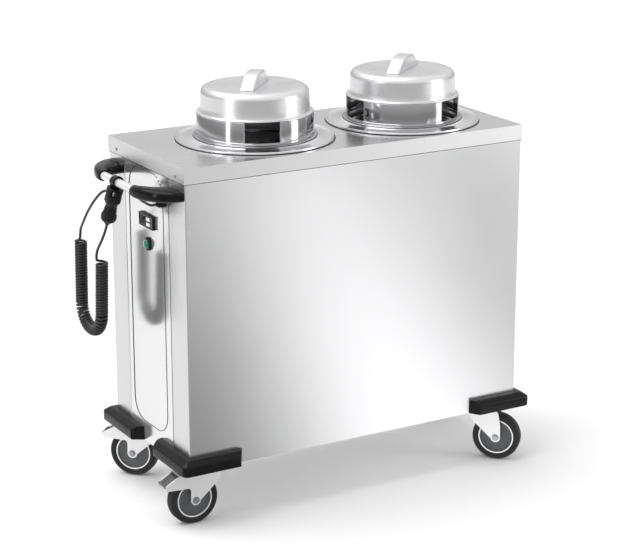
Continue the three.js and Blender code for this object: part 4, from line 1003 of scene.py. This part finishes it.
def make_controls():
    """A controller with an open face for its two keys, and the round switch under it."""
    panel = face_out(*CONTROLLER)
    frame_bars = [block(-16, 16, -37, -34.6, 0, 7), block(-16, 16, 34.6, 37, 0, 7),
                  block(13.6, 16, -37, 37, 0, 7), block(-16, -13.6, -37, 37, 0, 7),
                  block(-15, 15, -36, 36, 0, 2.4)]
    piece("controller_frame", moved(together(*frame_bars), panel), MOULDING,
          stands_for=("controller_housing",), edge=0.8)
    low, high = 3.8, 5.6  # of the face, outwards
    plate = [block(-13.2, 13.2, -4.6, 34.2, low, high), block(-13.2, 13.2, -34.2, -23.4, low, high)]
    plate += [block(foot, head, -23.4, -4.6, low, high)
              for foot, head in ((-13.2, -10.6), (-2, 2), (10.6, 13.2))]
    piece("controller_face", moved(together(*plate), panel), FACE)
    window = block(-10, 10, 2, 31, 5.4, 6.2)
    piece("controller_window", moved(window, panel), GLOSSY, edge=0.3)
    for i, key_z in enumerate((6.3, -6.3)):
        key = block(key_z - 3.9, key_z + 3.9, -23, -5, 5, 8.4)
        piece(f"key_cap_{i + 1}", moved(key, panel), KEY, body=f"controller_key_{i + 1}",
              stands_for=(f"controller_key_{i + 1}",), edge=0.9)

    seat = face_out(SWITCH_Y, SWITCH_Z)
    bezel = lathe([(0, 0), (16, 0), (16.5, 0.6), (16.5, 3.6), (15.8, 5), (14.4, 6), (12.4, 6), (11.8, 5.2),
                   (11.8, 1.5), (0, 1.5)], SMALL_ROUND)
    piece("switch_bezel", moved(bezel, seat), MOULDING,
          stands_for=("power_switch_bezel",))
    radius, flatness = 11.5, 0.68
    dome = [(0, 4.8), (radius, 4.8), *[(r, 6 + h * flatness) for r, h in arc(0, 0, radius, 4, 90, 12)]]
    piece("switch_lens", moved(lathe(dome, SMALL_ROUND), seat), LENS, body="power_switch_lens",
          stands_for=("power_switch_lens",))


# ---------------------------------------------------------------- bumpers
def make_bumper(name, sx, sy):
    """One section swept round a corner of the cabinet, with both ends cut at a slant."""
    wall_x, wall_y = HALF_LENGTH + SEAT, HALF_WIDTH + SEAT
    depth = 29.7
    section = [(0, 0), (26.5, 0), (29, 1), (depth, 3.4), (depth, 23), (29, 25.4), (27.2, 27.2),
               (17.5, 34.2), (15, 35.6), (12.5, 36), (0, 36)]
    slant, corner_round, steps = 18, 14, 8
    long_end, short_end = HALF_LENGTH - 140, HALF_WIDTH - 160

    def corner(d, turn):
        r = corner_round * d / depth
        return wall_x + (d - r) + r * cos(turn), wall_y + (d - r) + r * sin(turn)

    rings = [[(long_end + slant * d / depth, wall_y + d, z) for d, z in section]]
    for step in range(steps + 1):
        turn = radians(90 - 90 * step / steps)
        rings.append([(*corner(d, turn), z) for d, z in section])
    rings.append([(wall_x + d, short_end + slant * d / depth, z) for d, z in section])
    rings = [[(sx * x, sy * y, z) for x, y, z in ring] for ring in rings]
    piece(f"{name}_pad", moved(loft(rings), at(0, 0, BODY_BOTTOM)), MOULDING,
          stands_for=(name,), edge=1.2, crease=45)


# ---------------------------------------------------------------- castors
def make_fork(name, spot, back, brake):
    """Two cheeks, whose back reaches out over the brake where there is one, a crown and its dome."""
    if brake:
        side = [
            *arc(AXLE, WHEEL, 13, -172, 0, 10), (AXLE + 12.6, WHEEL + 26), (AXLE + 14.2, WHEEL + 30.6),
            (AXLE + 18.5, WHEEL + 33.4), (AXLE + 50, WHEEL + 35.2), (back - 3, WHEEL + 36.8),
            (back - 0.8, WHEEL + 38.2), (back, WHEEL + 40.6), (back, WHEEL + 48.4),
            (back - 1.4, WHEEL + 51.2), (back - 36, CROWN - 0.8), (back - 40, CROWN), (-27, CROWN),
            (-30, CROWN - 3), (-30, CROWN - 16), (-24, CROWN - 30),
        ]
    else:
        side = [
            *arc(AXLE, WHEEL, 13, -165, -12, 10), (back + 6, WHEEL + 34), (back + 3, CROWN - 20),
            (back, CROWN - 4), (back - 4, CROWN), (-27, CROWN), (-30, CROWN - 3), (-30, CROWN - 14),
            (-22, CROWN - 30),
        ]
    stand_up = Matrix.Rotation(pi / 2, 4, "X")
    cheeks = [moved(prism(side, low, low + 3), stand_up) for low in (-21.2, 18.2)]
    crown = block(-30, back - (37 if brake else 8), -20, 20, CROWN - 3, CROWN)
    dome = lathe([(0, CROWN - 1), (27, CROWN - 1), (29, CROWN - 0.4), (29.6, CROWN), (0, CROWN)], 48)
    piece(f"{name}_fork_shell", moved(together(*cheeks, crown, dome), spot), ZINC, body=f"{name}_fork",
          stands_for=(f"{name}_castor_fork",), edge=0.7)


def make_wheel(name, hub):
    tyre = [(46, -13), (47.5, -14.2), (51, -15), (55.5, -15.6), *arc(55.5, -8.6, 6.92, -88, 0, 8),
            *arc(55.5, 8.6, 6.92, 0, 88, 8), (51, 15), (47.5, 14.2), (46, 13)]
    piece(f"{name}_tread", moved(lathe(tyre, WHEEL_ROUND), hub), TYRE, body=f"{name}_wheel",
          stands_for=(f"{name}_tyre",))
    half = [(6.4, 17.5), (12.6, 17.5), (13, 17), (13.4, 11), (16, 9.4), (36, 8.6), (40, 9.4), (42.6, 12.2),
            (45.7, 12.4)]
    disc = [(r, -z) for r, z in half] + half[::-1]
    piece(f"{name}_disc", moved(lathe(disc, WHEEL_ROUND), hub), DISC, body=f"{name}_wheel",
          stands_for=(f"{name}_wheel",))
    hoops = [lathe([(42.6, z - 0.9), (46, z - 0.9), (46, z + 0.9), (42.6, z + 0.9)], WHEEL_ROUND)
             for z in (-12.9, 12.9)]
    piece(f"{name}_hoops", moved(together(*hoops), hub), ZINC, body=f"{name}_wheel",
          edge=0.4)


def make_pedal(name, spot, back):
    """A lever of two rails with a lip, a plate between them and four treads."""
    lever = spot @ Matrix.Translation((back - 33, 0, CROWN - 5)) @ Matrix.Rotation(radians(30), 4, "Y")
    half, rail = 17.9, 4
    parts = [block(0, 36, -half, rail - half, -7, 0), block(0, 36, half - rail, half, -7, 0),
             block(35, 40, -half, half, -4, 4), block(0, 8, -half, half, -3, 0),
             block(6, 36, 2 - half, half - 2, -3, -1.6)]
    parts += [block(x, x + 2, 7 - half, half - 7, -2, 0.2) for x in (12, 18, 24, 30)]
    piece(f"{name}_pedal_tread", moved(together(*parts), lever), PEDAL, body=f"{name}_pedal",
          stands_for=(f"{name}_brake_pedal",), edge=0.6)


def make_castor(name, x, y, heading, brake):
    spot = at(x, y, 0, heading)
    hub = Matrix.Translation((AXLE, 0, WHEEL)) @ Matrix.Rotation(-pi / 2, 4, "X")
    back = AXLE + (79 if brake else 6)
    dress(f"{name}_castor_plate", ZINC, 0.8)
    bolt = lathe([(0, 143.5), (7, 143.5), (7, 139.2), (6.2, 138.4), (0, 138.4)], 6)
    bolts = [moved(bolt, at(px, py, 0)) for px in (-36, 36) for py in (-36, 36)]
    piece(f"{name}_bolts", moved(together(*bolts), at(x, y, 0)), ZINC)
    make_fork(name, spot, back, brake)

    washer = lathe([(0, 21), (9, 21), (9, 22.4), (0, 22.4)], 32)
    nut = lathe([(0, 22), (7, 22), (7, 25), (6.2, 26), (0, 26)], 6)
    tip = lathe(rod(3.2, 25.5, 26.2, 0.3), 20)
    heads = [moved(part, hub @ Matrix.Rotation(flip, 4, "X"))
             for flip in (0, pi) for part in (washer, nut, tip)]
    piece(f"{name}_axle", moved(together(*heads), spot), PLAIN, body=f"{name}_fork",
          edge=0.3)
    make_wheel(name, spot @ hub)
    if brake:
        make_pedal(name, spot, back)


# ---------------------------------------------------------------- the whole cart
make_camera()
make_room()
make_lights()
make_floor()
plug_parts = make_plug()
make_cord()
make_holder()
make_gland()
make_cabinet()
for well in WELLS:
    make_well(well)
    make_lid(well)
make_handle()
make_controls()
for end, sx in (("left", -1), ("right", 1)):
    for face, sy in (("front", -1), ("back", 1)):
        make_bumper(f"{face}_{end}_bumper", sx, sy)
for castor, (cx, cy, heading, brake) in CASTORS.items():
    make_castor(castor, cx, cy, heading, brake)
